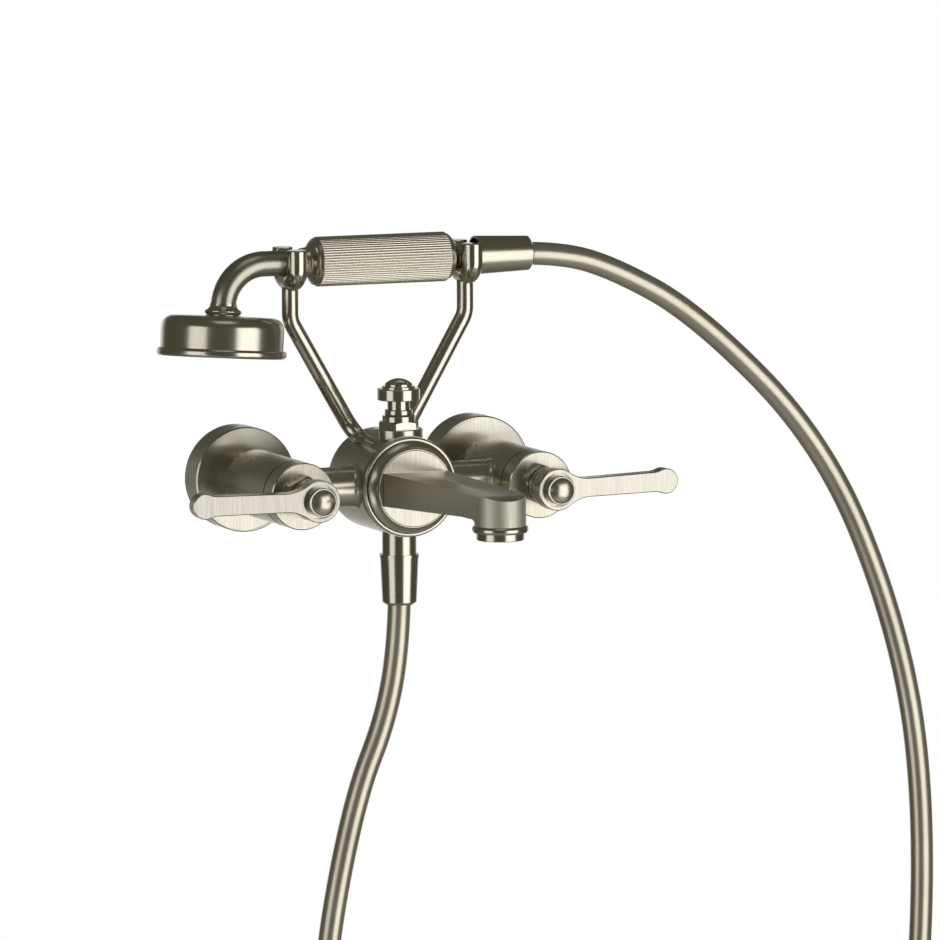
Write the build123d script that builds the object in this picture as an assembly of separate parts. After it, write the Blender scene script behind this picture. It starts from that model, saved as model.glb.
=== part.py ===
from build123d import *
import os
from math import asin, atan2, ceil, cos, degrees, pi, radians, sin, sqrt, tan

# Wall-mounted bath mixer: two lever valves, a bath spout, a pull-up diverter and a hand
# shower that rests in a cradle on a hose. Millimetres, +Z up, and the front faces -Y.
# The origin lies on the finished wall, midway between the two inlets.
# Pieces turned about an axis square to the wall are drawn as (radius, depth) outlines,
# where depth is the distance out from the wall.

# ---------------------------------------------------------------- general clearances
trim_clearance = 0.15       # between fixed pieces that slip over each other
thread_clearance = 0.05     # between a male and a female thread, both drawn plain
running_clearance = 0.05    # between a turning or sliding piece and its bore
free_gap = 0.3              # between faces that pass each other without touching
washer_thickness = 2.0

# ---------------------------------------------------------------- wall connections
inlet_spacing = 150.0
union_thread_radius = 10.48     # G 1/2 male, screwed into the pipe elbow in the wall
union_thread_length = 14.0
union_bore_radius = 7.0
union_collar_radius = 15.0
union_collar_depth = 4.0
union_nose_radius = 13.2        # G 3/4 male, which takes the inlet nut
union_length = 17.0             # from the wall to the nose's end
flange_radius = 31.3
flange_depth = 20.0
flange_wall = 1.6
flange_bevel = 0.7
flange_groove_width = 0.6
flange_groove_depth = 0.5
flange_rim_width = 1.2          # from the outer wall to the groove
inlet_nut_radius = 15.2
inlet_nut_start = 6.0
inlet_nut_lip = 3.0             # behind the nipple's flange
nipple_flange_radius = 12.6
nipple_flange_depth = 3.0
nipple_radius = 9.4
nipple_bore_radius = 6.5
nipple_engagement = 14.0        # screwed into the valve barrel
guide_hub_radius = 2.4          # of the ribbed guide cast in each union's wall end
guide_rib_width = 1.6
check_start = 1.0               # the non-return valves stand in front of the guides
check_end = 15.0
check_sleeve_wall = 1.2
check_rod_radius = 1.6
check_poppet_radius = 4.6
check_poppet_thickness = 2.0
check_rib_width = 1.4
check_rib_length = 3.0

# ---------------------------------------------------------------- body casting
waterway_depth = 77.5           # depth of the cross pipes, the diverter and the outlet
barrel_radius = 19.8            # valve barrel
barrel_rear = 38.0
barrel_front = 101.0
cross_pipe_radius = 11.9
cross_pipe_bore = 7.5
cross_pipe_blend = 3.0
centre_radius = 30.0
centre_rear = 39.0
centre_front = 93.0
centre_wall = 6.0
centre_rear_wall = 5.0

# ---------------------------------------------------------------- valves
cartridge_bore = 14.0
cartridge_rear = 62.0           # where the cartridge's seal seats
cartridge_flange_radius = 15.8
cartridge_flange_depth = 88.0
cartridge_flange_thickness = 3.0
cartridge_chamber_radius = 9.8
cartridge_chamber_front = 84.0
cartridge_neck_radius = 9.0
cartridge_window_width = 10.0
cartridge_window_length = 9.0
seal_thickness = 1.4
fixed_disc_thickness = 2.6
moving_disc_thickness = 2.4
disc_port_radius = 3.7
disc_port_offset = 4.6
disc_driver_thickness = 3.0
spindle_radius = 4.0
spindle_seal_radius = 5.6
spindle_seal_depth = 102.0
cap_front = 115.8
cap_seam = 0.6
cap_edge = 1.2
cap_spigot_radius = 15.9
bonnet_across_flats = 22.4
bonnet_depth = 6.5
bonnet_collar_radius = 10.2
bonnet_collar_depth = 1.6
bonnet_turns = {"left": 27.0, "right": 36.0}

# ---------------------------------------------------------------- levers
lever_face = 144.0              # depth of the hub's front face, on the valve's axis
lever_thickness = 8.5
lever_reach = 70.2              # hub centre to the centre of the rounded tip
lever_hub_radius = 12.4
lever_tip_radius = 7.5
lever_root_width = 11.2
lever_tip_width = 11.8
lever_hub_blend = 22.0
lever_tip_blend = 14.0
lever_rake = 2.6                # degrees, back towards the wall
lever_edge = 0.5
lever_boss_radius = 10.8
lever_boss_grooves = 2
lever_boss_groove = 0.7            # width and depth of each groove
lever_recess_radius = 10.2
lever_recess_depth = 3.0
lever_socket_depth = 5.5
lever_cap_radius = 8.5
lever_cap_front = 149.0
lever_cap_dome_radius = 7.7
lever_cap_dome_rise = 2.4
lever_screw_radius = 2.4
lever_screw_head_radius = 4.3
lever_screw_head_depth = 3.0
lever_screw_length = 14.0
lever_turn = 90.0               # degrees from shut to open
lever_rest = {"left": 0.0, "right": 1.3}    # degrees that a shut lever's tip stands up

# ---------------------------------------------------------------- spout
spout_face_radius = 22.7
spout_face_depth = 103.7
spout_flange_radius = 26.0
spout_flange_thickness = 2.4
ring_radius = 29.7
ring_bead_radius = 1.5
ring_groove = 0.9
ring_cove_start = 98.2          # depth where the cove leaves the inner rim
ring_rim_radius = 27.2
spout_root_half_width = 20.0
spout_root_top = 9.9
spout_root_bottom = -9.8
spout_top_rise = 0.8            # of the top face, from the root to the outlet's axis
spout_bottom_rise = 7.4         # of the underside, from the root to the outlet's back
spout_reach = 238.8             # wall to the outlet's axis
spout_outlet_radius = 15.0
spout_outlet_bottom = -7.0
spout_nose_drop = 2.8
spout_nose_length = 11.0
spout_wall = 2.8
spout_outlet_blend = 3.2
aerator_bore = 12.4
aerator_spigot = 6.5
aerator_bead_radius = 16.4
aerator_bead_height = 4.2
aerator_skirt_radius = 13.95
aerator_skirt_height = 4.1
aerator_insert_height = 5.2
aerator_hole_radius = 0.8

# ---------------------------------------------------------------- diverter
diverter_base_radius = 14.2
diverter_base_top = 33.2
diverter_hex_across_flats = 22.0
diverter_hex_top = 37.6
diverter_hex_turn = 2.0
diverter_shank_radius = 10.0
gland_step_radius = 9.8
gland_step_top = 40.9
gland_bead_radius = 8.3
gland_top = 44.5
gland_shank_radius = 8.4
knob_neck_radius = 6.7
knob_disc_bottom = 50.1
knob_disc_top = 56.9
knob_disc_radius = 12.7
knob_step_radius = 9.9
knob_step_top = 58.3
knob_dome_radius = 8.2
knob_dome_start = 59.6
knob_top = 62.9
diverter_travel = 5.0
stem_radius = 3.0
piston_radius = 8.8
piston_thickness = 3.0
spring_coil_radius = 5.4
spring_wire_radius = 0.6
spring_turns = 7

# ---------------------------------------------------------------- hose outlet and hose
outlet_radius = 10.25           # G 1/2 male, drawn plain
outlet_bottom = -52.0
outlet_bore = 6.0
outlet_spigot_radius = 9.4
outlet_seat = -22.5             # the diverter's seal rests here
hose_radius = 7.0
hose_nut_bore_clearance = 0.65  # round the hose, in the nut's small end
hose_nut_wide_radius = 11.5
hose_nut_narrow_radius = 10.3
hose_nut_lip_radius = 11.8
hose_nut_lip_length = 1.8
lower_nut_top = -41.6
lower_nut_bottom = -71.5
upper_nut_left = 62.0
upper_nut_right = 97.0
ferrule_thickness = 3.0
ferrule_radius = 9.8
ferrule_bore = 3.5

# The hose's route from its lower end to its upper end. Points are (x, y, z).
hose_route = [
    (0.0, -77.5, -57.0),
    (0.0, -77.5, -88.0),
    (-8.0, -77.5, -137.0),
    (-29.0, -77.3, -186.0),
    (-48.0, -77.0, -277.0),
    (-48.0, -76.8, -330.0),
    (-30.0, -76.3, -421.0),
    (13.0, -75.5, -488.0),
    (86.0, -74.0, -535.0),
    (172.0, -72.0, -542.0),
    (252.0, -70.0, -507.0),
    (312.0, -67.5, -436.0),
    (341.0, -65.0, -347.0),
    (347.0, -61.0, -204.0),
    (330.0, -57.0, -101.0),
    (285.0, -53.0, 8.0),
    (204.0, -48.0, 90.0),
    (146.0, -45.5, 122.0),
    (110.0, -44.4, 130.6),
    (82.0, -44.4, 130.6),
]
hose_corner_share = 0.45

# ---------------------------------------------------------------- cradle
cradle_depth = 44.4             # depth of the arms and of the hand shower's axis
cradle_half_spacing = 55.6
arm_radius = 5.0
arm_angle = 60.0                # of the arms' lower stretch, from the horizontal
arm_upper_bend = 16.0
arm_foot_bend = 16.0
arm_foot_sink = 3.0             # of the foot's axis below the barrel's surface
arm_foot_end_sink = 0.25        # of the whole foot below that surface at its front end
arm_spigot_radius = 3.0
arm_spigot_length = 3.6
yoke_bar_radius = 6.1           # of the round bar that a yoke is bent from
yoke_half_spacing = 12.2        # of the bar's axis in the two arms
yoke_bend = 8.0
yoke_drop = 10.4                # of the bar's axis below the hand shower's axis
yoke_half_gap = 7.75            # of the slot cut between the arms for the tube
yoke_arm_rise = 8.5             # of the arms above the hand shower's axis
yoke_end_rounding = 0.9

# ---------------------------------------------------------------- hand shower
handset_height = 130.6          # of its axis
handset_tube_radius = 7.55
handset_tube_bore = 5.5
handset_seat_gap = 0.05         # between the tube and the yokes' floor
grip_left = -38.9
grip_right = 41.9
grip_radius = 14.8
grip_valley_radius = 14.25
grip_flutes = 56
grip_bore = 9.0
shoulder_bead_radius = 13.6
shoulder_neck_radius = 8.3
inlet_thread_length = 9.0
elbow_corner = -96.5            # where the tube's two straight axes would meet
elbow_bend = 26.0
head_tilt = 4.25                 # degrees, of the head's axis from the vertical
head_roll = -4.0                # degrees about the hand shower's axis
head_drop = 54.2                # from the elbow's corner to the spray face
head_radius = 36.5
head_wall = 2.0
head_shoulder = 7.4
head_height = 24.1
head_crown = 0.7
head_rim_radius = 38.6
head_rim_height = 5.0
head_rim_lip = 2.0
head_neck_radius = 9.4
collar_bottom = 25.0
collar_bead_radius = 11.1
collar_bead_height = 2.4
collar_top = 32.0
spray_plate_thickness = 2.2
spray_hole_radius = 0.8
spray_hole_pitch = 6.2
spray_rings = 5
lift_travel = 30.0              # straight up, clear of the yokes


# ---------------------------------------------------------------- drawing helpers
def outward(x, z=0.0):
    """An axis square to the wall, pointing into the room."""
    return Plane(origin=(x, 0, z), x_dir=(1, 0, 0), z_dir=(0, -1, 0))


def upward(x, y):
    """A vertical axis, pointing up."""
    return Plane(origin=(x, y, 0), x_dir=(1, 0, 0), z_dir=(0, 0, 1))


def rightward(y, z):
    """A horizontal axis along the wall, pointing right."""
    return Plane(origin=(0, y, z), x_dir=(0, 0, 1), z_dir=(1, 0, 0))


def outline_face(points):
    """A closed face from (x, y) or (x, y, corner radius) points.

    A corner's arc never takes more than its share of the shorter side next to it.
    """
    points = [
        point for point, before in zip(points, points[-1:] + points[:-1])
        if abs(point[0] - before[0]) + abs(point[1] - before[1]) > 0.001
    ]
    count = len(points)
    rounded = [len(point) > 2 for point in points]
    places = [Vector(point[0], point[1]) for point in points]
    arcs = []
    for index, corner in enumerate(places):
        if not rounded[index]:
            arcs.append((corner, None, corner))
            continue
        back = places[index - 1] - corner
        ahead = places[(index + 1) % count] - corner
        half = radians(back.get_angle(ahead)) / 2
        share_back = 0.48 if rounded[index - 1] else 0.97
        share_ahead = 0.48 if rounded[(index + 1) % count] else 0.97
        setback = min(points[index][2] / tan(half), share_back * back.length, share_ahead * ahead.length)
        radius = setback * tan(half)
        middle = (back.normalized() + ahead.normalized()).normalized() * (radius / sin(half) - radius)
        arcs.append((corner + back.normalized() * setback, corner + middle,
                     corner + ahead.normalized() * setback))
    edges = []
    for index, (start, middle, end) in enumerate(arcs):
        if middle is not None:
            edges.append(ThreePointArc(start, middle, end))
        edges.append(Line(end, arcs[(index + 1) % count][0]))
    return make_face(Wire(edges))


def turned(axis, points):
    """A solid turned about an axis from (radius, place along it) points."""
    return axis * revolve(Plane.XZ * outline_face(points), Axis.Z, 360)


def bar(axis, radius, start, end):
    """A plain round bar along an axis."""
    solid = Cylinder(radius, end - start, align=(Align.CENTER, Align.CENTER, Align.MIN))
    return axis * (Pos(0, 0, start) * solid)


def tube(axis, radius, bore, start, end):
    """A plain round tube along an axis."""
    return turned(axis, [(bore, start), (radius, start), (radius, end), (bore, end)])


def hexagon_bar(axis, across_flats, start, end, turn=0.0):
    """A hexagonal bar along an axis."""
    section = RegularPolygon(across_flats / 2, 6, major_radius=False, rotation=turn)
    return axis * (Pos(0, 0, start) * extrude(section, end - start))


def chamfered_hexagon(axis, across_flats, start, end, turn=0.0):
    """A hexagonal bar whose corners are turned off at its far end, as on a nut."""
    corner = across_flats / sqrt(3)
    cut = corner - across_flats / 2
    bevel = turned(axis, [
        (0, start),
        (corner, start),
        (corner, end - cut / 2),
        (corner - cut, end),
        (0, end),
    ])
    return hexagon_bar(axis, across_flats, start, end, turn) & bevel


def one_solid(shape):
    """The shape as a single plain solid."""
    return shape.solids()[0] if len(shape.solids()) == 1 else shape


sides = {"left": -1, "right": 1}
valve_x = inlet_spacing / 2
waterway_y = -waterway_depth
parts = {}


# ---------------------------------------------------------------- wall connections
def wall_union(axis):
    """Straight union: G 1/2 into the wall, a collar, and a G 3/4 nose for the inlet nut.

    Three ribs and a hub across the bore of its wall end guide the water to the non-return valve.
    """
    union = turned(axis, [
        (union_bore_radius, -union_thread_length),
        (union_thread_radius - 0.8, -union_thread_length),
        (union_thread_radius, 0.8 - union_thread_length),
        (union_thread_radius, 0),
        (union_collar_radius, 0),
        (union_collar_radius, union_collar_depth),
        (union_nose_radius, union_collar_depth),
        (union_nose_radius, union_length),
        (union_bore_radius, union_length),
    ])
    rib = Box(union_bore_radius + 0.5, guide_rib_width, union_thread_length,
              align=(Align.MIN, Align.CENTER, Align.MIN))
    for turn in (90, 210, 330):
        union += axis * (Pos(0, 0, -union_thread_length) * Rot(0, 0, turn) * rib)
    return one_solid(union + bar(axis, guide_hub_radius, -union_thread_length, 0))


def wall_flange(axis):
    """Deep round cup that covers the union, with a grooved and bevelled front edge."""
    hole = inlet_nut_radius + trim_clearance
    inner = flange_radius - flange_wall
    groove_outer = flange_radius - flange_rim_width
    groove_inner = groove_outer - flange_groove_width
    groove_floor = flange_depth - flange_groove_depth
    return turned(axis, [
        (hole, flange_depth - flange_wall),
        (hole, flange_depth),
        (groove_inner, flange_depth),
        (groove_inner, groove_floor),
        (groove_outer, groove_floor),
        (groove_outer, flange_depth),
        (flange_radius - flange_bevel, flange_depth),
        (flange_radius, flange_depth - flange_bevel),
        (flange_radius, 0),
        (inner, 0),
        (inner, flange_depth - flange_wall),
    ])


nipple_start = union_length + washer_thickness
nipple_shoulder = nipple_start + nipple_flange_depth
nipple_end = barrel_rear + nipple_engagement


def inlet_nut(axis):
    """Round union nut, captive on the nipple and screwed onto the union's nose."""
    thread = union_nose_radius + thread_clearance
    bore = nipple_radius + trim_clearance
    end = barrel_rear - free_gap
    return turned(axis, [
        (thread, inlet_nut_start),
        (inlet_nut_radius, inlet_nut_start),
        (inlet_nut_radius, end),
        (bore, end),
        (bore, nipple_shoulder),
        (thread, nipple_shoulder),
    ])


def inlet_nipple(axis):
    """Flanged nipple, screwed into the back of the valve barrel."""
    return turned(axis, [
        (nipple_bore_radius, nipple_start),
        (nipple_flange_radius, nipple_start),
        (nipple_flange_radius, nipple_shoulder),
        (nipple_radius, nipple_shoulder),
        (nipple_radius, nipple_end),
        (nipple_bore_radius, nipple_end),
    ])


def non_return_valve(axis):
    """Plastic non-return valve in the union's bore: sleeve, three ribs, rod and poppet."""
    outer = union_bore_radius - running_clearance
    rib_start = check_end - 1.0 - check_rib_length
    valve = tube(axis, outer, outer - check_sleeve_wall, check_start, check_end)
    rib = Box(outer - 0.3, check_rib_width, check_rib_length, align=(Align.MIN, Align.CENTER, Align.MIN))
    for turn in (90, 210, 330):
        valve += axis * (Pos(0, 0, rib_start) * Rot(0, 0, turn) * rib)
    valve += bar(axis, check_rod_radius, check_start + 0.5, rib_start + check_rib_length)
    valve += bar(axis, check_poppet_radius, check_start + 0.5, check_start + 0.5 + check_poppet_thickness)
    return one_solid(valve)


def inlet_washer(axis):
    """Fibre washer between the union's nose and the nipple."""
    return tube(axis, nipple_flange_radius, union_bore_radius, union_length, nipple_start)


for side, sign in sides.items():
    parts[f"wall_flange_{side}"] = wall_flange(outward(sign * valve_x))
both_inlets = [outward(-valve_x), outward(valve_x)]
parts["wall_unions"] = Compound([wall_union(axis) for axis in both_inlets])
parts["inlet_nuts"] = Compound([inlet_nut(axis) for axis in both_inlets])
parts["inlet_nipples"] = Compound([inlet_nipple(axis) for axis in both_inlets])
parts["inlet_washers"] = Compound([inlet_washer(axis) for axis in both_inlets])
parts["non_return_valves"] = Compound([non_return_valve(axis) for axis in both_inlets])


# ---------------------------------------------------------------- body casting
ring_seat = waterway_depth + diverter_shank_radius + 1.0
ring_thread_radius = spout_flange_radius + 0.6
chamber_radius = centre_radius - centre_wall
centre_axis = outward(0)


def body_casting():
    """The cast body: two valve barrels joined to the centre barrel by cross pipes."""
    pipe_axis = rightward(waterway_y, 0)
    outer = bar(centre_axis, centre_radius, centre_rear, centre_front)
    outer += bar(pipe_axis, cross_pipe_radius, -valve_x, valve_x)
    for axis in both_inlets:
        outer += bar(axis, barrel_radius, barrel_rear, barrel_front)
    joints = [
        edge for edge in outer.edges()
        if edge.geom_type not in (GeomType.LINE, GeomType.CIRCLE)
        and abs(abs(edge.center().Y) - waterway_depth) < cross_pipe_radius
    ]
    outer = fillet(joints, cross_pipe_blend)
    for axis in both_inlets:
        outer -= bar(axis, nipple_radius + thread_clearance, barrel_rear, nipple_end)
        outer -= bar(axis, nipple_bore_radius, barrel_rear, barrel_front)
        outer -= bar(axis, cartridge_bore, cartridge_rear, barrel_front)
        outer -= bar(axis, cap_spigot_radius + thread_clearance, cartridge_flange_depth, barrel_front)
    outer -= bar(centre_axis, chamber_radius, centre_rear + centre_rear_wall, centre_front)
    outer -= bar(centre_axis, ring_thread_radius, ring_seat, centre_front)
    outer -= bar(pipe_axis, cross_pipe_bore, -valve_x, valve_x)
    middle = upward(0, waterway_y)
    outer -= bar(middle, diverter_shank_radius + thread_clearance, 0, centre_radius)
    outer -= bar(middle, outlet_spigot_radius + thread_clearance, -centre_radius - 1, 0)
    return one_solid(outer)


parts["body_casting"] = body_casting()


# ---------------------------------------------------------------- valves
seal_front = cartridge_rear + seal_thickness
fixed_disc_front = seal_front + fixed_disc_thickness
moving_disc_front = fixed_disc_front + moving_disc_thickness
driver_front = moving_disc_front + disc_driver_thickness
cap_hole = cartridge_neck_radius + trim_clearance
neck_front = cap_front + bonnet_depth + bonnet_collar_depth - 0.4
bonnet_front = cap_front + bonnet_depth
boss_back = bonnet_front + bonnet_collar_depth + free_gap
hub_back = lever_face - lever_thickness
socket_floor = lever_face - lever_socket_depth


def cartridge(axis, sign):
    """Brass cartridge housing: disc chamber with side windows, flange and threaded neck."""
    bore = spindle_radius + running_clearance
    outer = cartridge_bore - trim_clearance
    shell = turned(axis, [
        (cartridge_chamber_radius, cartridge_rear),
        (outer, cartridge_rear),
        (outer, cartridge_flange_depth),
        (cartridge_flange_radius, cartridge_flange_depth),
        (cartridge_flange_radius, cartridge_flange_depth + cartridge_flange_thickness),
        (cartridge_neck_radius, cartridge_flange_depth + cartridge_flange_thickness),
        (cartridge_neck_radius, neck_front),
        (bore, neck_front),
        (bore, cartridge_chamber_front),
        (cartridge_chamber_radius, cartridge_chamber_front),
    ])
    window = Box(2 * cartridge_bore, cartridge_window_width, cartridge_window_length)
    shell -= axis * (Pos(-sign * cartridge_bore, 0, waterway_depth) * window)
    groove = tube(axis, spindle_seal_radius, bore, spindle_seal_depth, spindle_seal_depth + washer_thickness)
    return one_solid(shell - groove)


def cartridge_seal(axis):
    """Rubber seal between the body's seat and the fixed disc."""
    radius = cartridge_chamber_radius - trim_clearance
    return tube(axis, radius, nipple_bore_radius, cartridge_rear, seal_front)


def ceramic_disc(axis, radius, start, end, port_turn):
    """Ceramic disc with two ports."""
    disc = bar(Plane.XY, radius, start, end)
    for turn in (port_turn, port_turn + 180):
        disc -= Rot(0, 0, turn) * bar(upward(disc_port_offset, 0), disc_port_radius, start, end)
    return axis * disc


def spindle(axis):
    """Spindle that drives the moving disc and carries the lever."""
    tapped = lever_screw_radius
    tapped_end = socket_floor - lever_screw_length
    driver_radius = cartridge_chamber_radius - 1.0
    return turned(axis, [
        (0, moving_disc_front),
        (driver_radius, moving_disc_front),
        (driver_radius, driver_front),
        (spindle_radius, driver_front),
        (spindle_radius, socket_floor),
        (tapped, socket_floor),
        (tapped, tapped_end),
        (0, tapped_end),
    ])


def spindle_seal(axis):
    """Ring seal round the spindle, in its groove in the cartridge's neck."""
    bore = spindle_radius + running_clearance
    return tube(axis, spindle_seal_radius, bore, spindle_seal_depth, spindle_seal_depth + washer_thickness)


def valve_cap(axis):
    """Front cap of the valve barrel, screwed into the barrel and clamping the cartridge."""
    spigot_rear = cartridge_flange_depth + cartridge_flange_thickness
    return turned(axis, [
        (cap_hole, spigot_rear),
        (cap_spigot_radius, spigot_rear),
        (cap_spigot_radius, barrel_front + cap_seam),
        (barrel_radius - cap_seam, barrel_front + cap_seam),
        (barrel_radius, barrel_front + 2 * cap_seam),
        (barrel_radius, cap_front - cap_edge / 2),
        (barrel_radius - cap_edge / 2, cap_front),
        (cap_hole, cap_front),
    ])


def bonnet_nut(axis, turn):
    """Hexagonal bonnet nut with a turned collar, screwed onto the cartridge's neck."""
    nut = chamfered_hexagon(axis, bonnet_across_flats, cap_front, bonnet_front, turn)
    nut += bar(axis, bonnet_collar_radius, bonnet_front - 0.5, bonnet_front + bonnet_collar_depth)
    return one_solid(nut - bar(axis, cartridge_neck_radius + thread_clearance, cap_front, boss_back))


for side, sign in sides.items():
    axis = outward(sign * valve_x)
    parts[f"valve_cap_{side}"] = valve_cap(axis)
    parts[f"moving_disc_{side}"] = ceramic_disc(
        axis, cartridge_chamber_radius - 0.6, fixed_disc_front, moving_disc_front, 90
    )
    parts[f"spindle_{side}"] = spindle(axis)
parts["cartridges"] = Compound([cartridge(outward(sign * valve_x), sign) for sign in sides.values()])
parts["cartridge_seals"] = Compound([cartridge_seal(axis) for axis in both_inlets])
parts["fixed_discs"] = Compound([
    ceramic_disc(axis, cartridge_chamber_radius - trim_clearance, seal_front, fixed_disc_front, 0)
    for axis in both_inlets
])
parts["spindle_seals"] = Compound([spindle_seal(axis) for axis in both_inlets])
parts["bonnet_nuts"] = Compound([
    bonnet_nut(outward(sign * valve_x), bonnet_turns[side]) for side, sign in sides.items()
])


# ---------------------------------------------------------------- levers
def lever_plate():
    """The lever's flat outline with its hub at the origin and its tip along +X."""
    half_root = lever_root_width / 2
    half_tip = lever_tip_width / 2
    hub_x = sqrt((lever_hub_radius + lever_hub_blend) ** 2 - (half_root + lever_hub_blend) ** 2)
    tip_x = sqrt((lever_tip_radius + lever_tip_blend) ** 2 - (half_tip + lever_tip_blend) ** 2)
    hub_share = lever_hub_radius / (lever_hub_radius + lever_hub_blend)
    tip_share = lever_tip_radius / (lever_tip_radius + lever_tip_blend)
    hub_touch = (hub_x * hub_share, (half_root + lever_hub_blend) * hub_share)
    tip_touch = (lever_reach - tip_x * tip_share, (half_tip + lever_tip_blend) * tip_share)
    bar_start = (hub_x, half_root)
    bar_end = (lever_reach - tip_x, half_tip)

    def mirrored(point):
        return (point[0], -point[1])

    edges = [
        ThreePointArc(hub_touch, (-lever_hub_radius, 0), mirrored(hub_touch)),
        ThreePointArc(tip_touch, (lever_reach + lever_tip_radius, 0), mirrored(tip_touch)),
        Line(bar_start, bar_end),
        Line(mirrored(bar_start), mirrored(bar_end)),
    ]
    hub_middle = (hub_x - lever_hub_blend * sin(atan2(hub_x, half_root + lever_hub_blend) / 2),
                  half_root + lever_hub_blend
                  - lever_hub_blend * cos(atan2(hub_x, half_root + lever_hub_blend) / 2))
    tip_turn = atan2(tip_x, half_tip + lever_tip_blend) / 2
    tip_middle = (lever_reach - tip_x + lever_tip_blend * sin(tip_turn),
                  half_tip + lever_tip_blend - lever_tip_blend * cos(tip_turn))
    edges += [
        ThreePointArc(hub_touch, hub_middle, bar_start),
        ThreePointArc(bar_end, tip_middle, tip_touch),
        ThreePointArc(mirrored(hub_touch), mirrored(hub_middle), mirrored(bar_start)),
        ThreePointArc(mirrored(bar_end), mirrored(tip_middle), mirrored(tip_touch)),
    ]
    plate = extrude(make_face(Wire(edges)), -lever_thickness)
    rims = plate.edges().filter_by(lambda edge: abs(edge.center().Z) < 0.001)
    return chamfer(rims, lever_edge)


def lever(axis, sign, rest):
    """Lever handle: raked plate, grooved boss behind the hub, recess and socket for its cap."""
    plate = lever_plate()
    if sign < 0:
        plate = Rot(0, 0, 180) * plate
    shape = Pos(0, 0, lever_face) * Rot(0, 0, sign * rest) * Rot(0, sign * lever_rake, 0) * plate
    shape += bar(Plane.XY, lever_boss_radius, boss_back, hub_back + 1.5)
    groove_pitch = (hub_back - boss_back) / (lever_boss_grooves + 1)
    for index in range(lever_boss_grooves):
        start = boss_back + (index + 1) * groove_pitch - lever_boss_groove / 2
        end = start + lever_boss_groove
        shape -= tube(Plane.XY, lever_boss_radius + 1, lever_boss_radius - lever_boss_groove, start, end)
    shape -= bar(Plane.XY, lever_recess_radius, lever_face - lever_recess_depth, lever_face + 5)
    shape -= bar(Plane.XY, lever_cap_radius, socket_floor, lever_face)
    shape -= bar(Plane.XY, spindle_radius, boss_back - 1, socket_floor)
    return one_solid(axis * shape)


def lever_cap(axis):
    """Round cap with a raised rim and a domed middle, pressed into the lever's socket."""
    rim_inner = lever_cap_dome_radius
    dome_radius = (rim_inner ** 2 + lever_cap_dome_rise ** 2) / (2 * lever_cap_dome_rise)
    rim_floor = lever_cap_front - 0.6
    body = turned(axis, [
        (0, socket_floor),
        (lever_cap_radius, socket_floor),
        (lever_cap_radius, lever_cap_front - 0.4),
        (lever_cap_radius - 0.4, lever_cap_front),
        (rim_inner, lever_cap_front),
        (rim_inner, rim_floor),
        (0, rim_floor),
    ])
    ball = Pos(0, 0, rim_floor + lever_cap_dome_rise - dome_radius) * Sphere(dome_radius)
    dome = ball & bar(Plane.XY, rim_inner, rim_floor - 0.2, lever_cap_front + dome_radius)
    hollow_end = socket_floor + lever_screw_head_depth + 1.0
    hollow = bar(axis, lever_screw_head_radius + 1.0, socket_floor, hollow_end)
    return one_solid(body + axis * dome - hollow)


def lever_screw(axis):
    """Screw that holds the lever on its spindle."""
    screw = bar(axis, lever_screw_head_radius, socket_floor, socket_floor + lever_screw_head_depth)
    screw += bar(axis, lever_screw_radius, socket_floor - lever_screw_length, socket_floor)
    socket = hexagon_bar(axis, 4.0, socket_floor + 1.0, socket_floor + lever_screw_head_depth)
    return one_solid(screw - socket)


for side, sign in sides.items():
    axis = outward(sign * valve_x)
    parts[f"lever_{side}"] = lever(axis, sign, lever_rest[side])
    parts[f"lever_cap_{side}"] = lever_cap(axis)
    parts[f"lever_screw_{side}"] = lever_screw(axis)


# ---------------------------------------------------------------- spout
def spout_plan(margin):
    """The spout seen from above, as a tall block drawn in from its sides by a margin."""
    root_depth = ring_seat if margin else spout_face_depth - 1.0
    side_slope = (spout_root_half_width - spout_outlet_radius) / (spout_reach - spout_face_depth)
    root_half = spout_root_half_width - margin + side_slope * (spout_face_depth - root_depth)
    outlet_half = spout_outlet_radius - margin
    plan = make_face(Wire([
        Line((-root_half, -root_depth), (-outlet_half, -spout_reach)),
        ThreePointArc((-outlet_half, -spout_reach), (0, -spout_reach - outlet_half),
                      (outlet_half, -spout_reach)),
        Line((outlet_half, -spout_reach), (root_half, -root_depth)),
        Line((root_half, -root_depth), (-root_half, -root_depth)),
    ]))
    return Pos(0, 0, -60) * extrude(plan, 120)


def spout_side(margin):
    """The spout seen from its side, as a wide block drawn in from top and bottom by a margin."""
    root_depth = ring_seat if margin else spout_face_depth - 1.0
    low = spout_root_bottom + margin
    high = spout_root_top - margin
    outlet_low = low + spout_bottom_rise
    tip = spout_reach + spout_outlet_radius
    nose_start = tip - spout_nose_length
    nose_high = high + spout_top_rise * (nose_start - spout_face_depth) / (spout_reach - spout_face_depth)
    nose_end = tip + 1
    nose_low = nose_high - spout_nose_drop
    middle = ((nose_end + nose_start) / 2, nose_high - spout_nose_drop * 0.27)
    side = make_face(Wire([
        Line((root_depth, low), (spout_reach, outlet_low)),
        Line((spout_reach, outlet_low), (nose_end, outlet_low)),
        Line((nose_end, outlet_low), (nose_end, nose_low)),
        ThreePointArc((nose_end, nose_low), middle, (nose_start, nose_high)),
        Line((nose_start, nose_high), (root_depth, high)),
        Line((root_depth, high), (root_depth, low)),
    ]))
    across = Plane(origin=(-60, 0, 0), x_dir=(0, -1, 0), z_dir=(-1, 0, 0))
    return extrude(across * side, -120)


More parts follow.
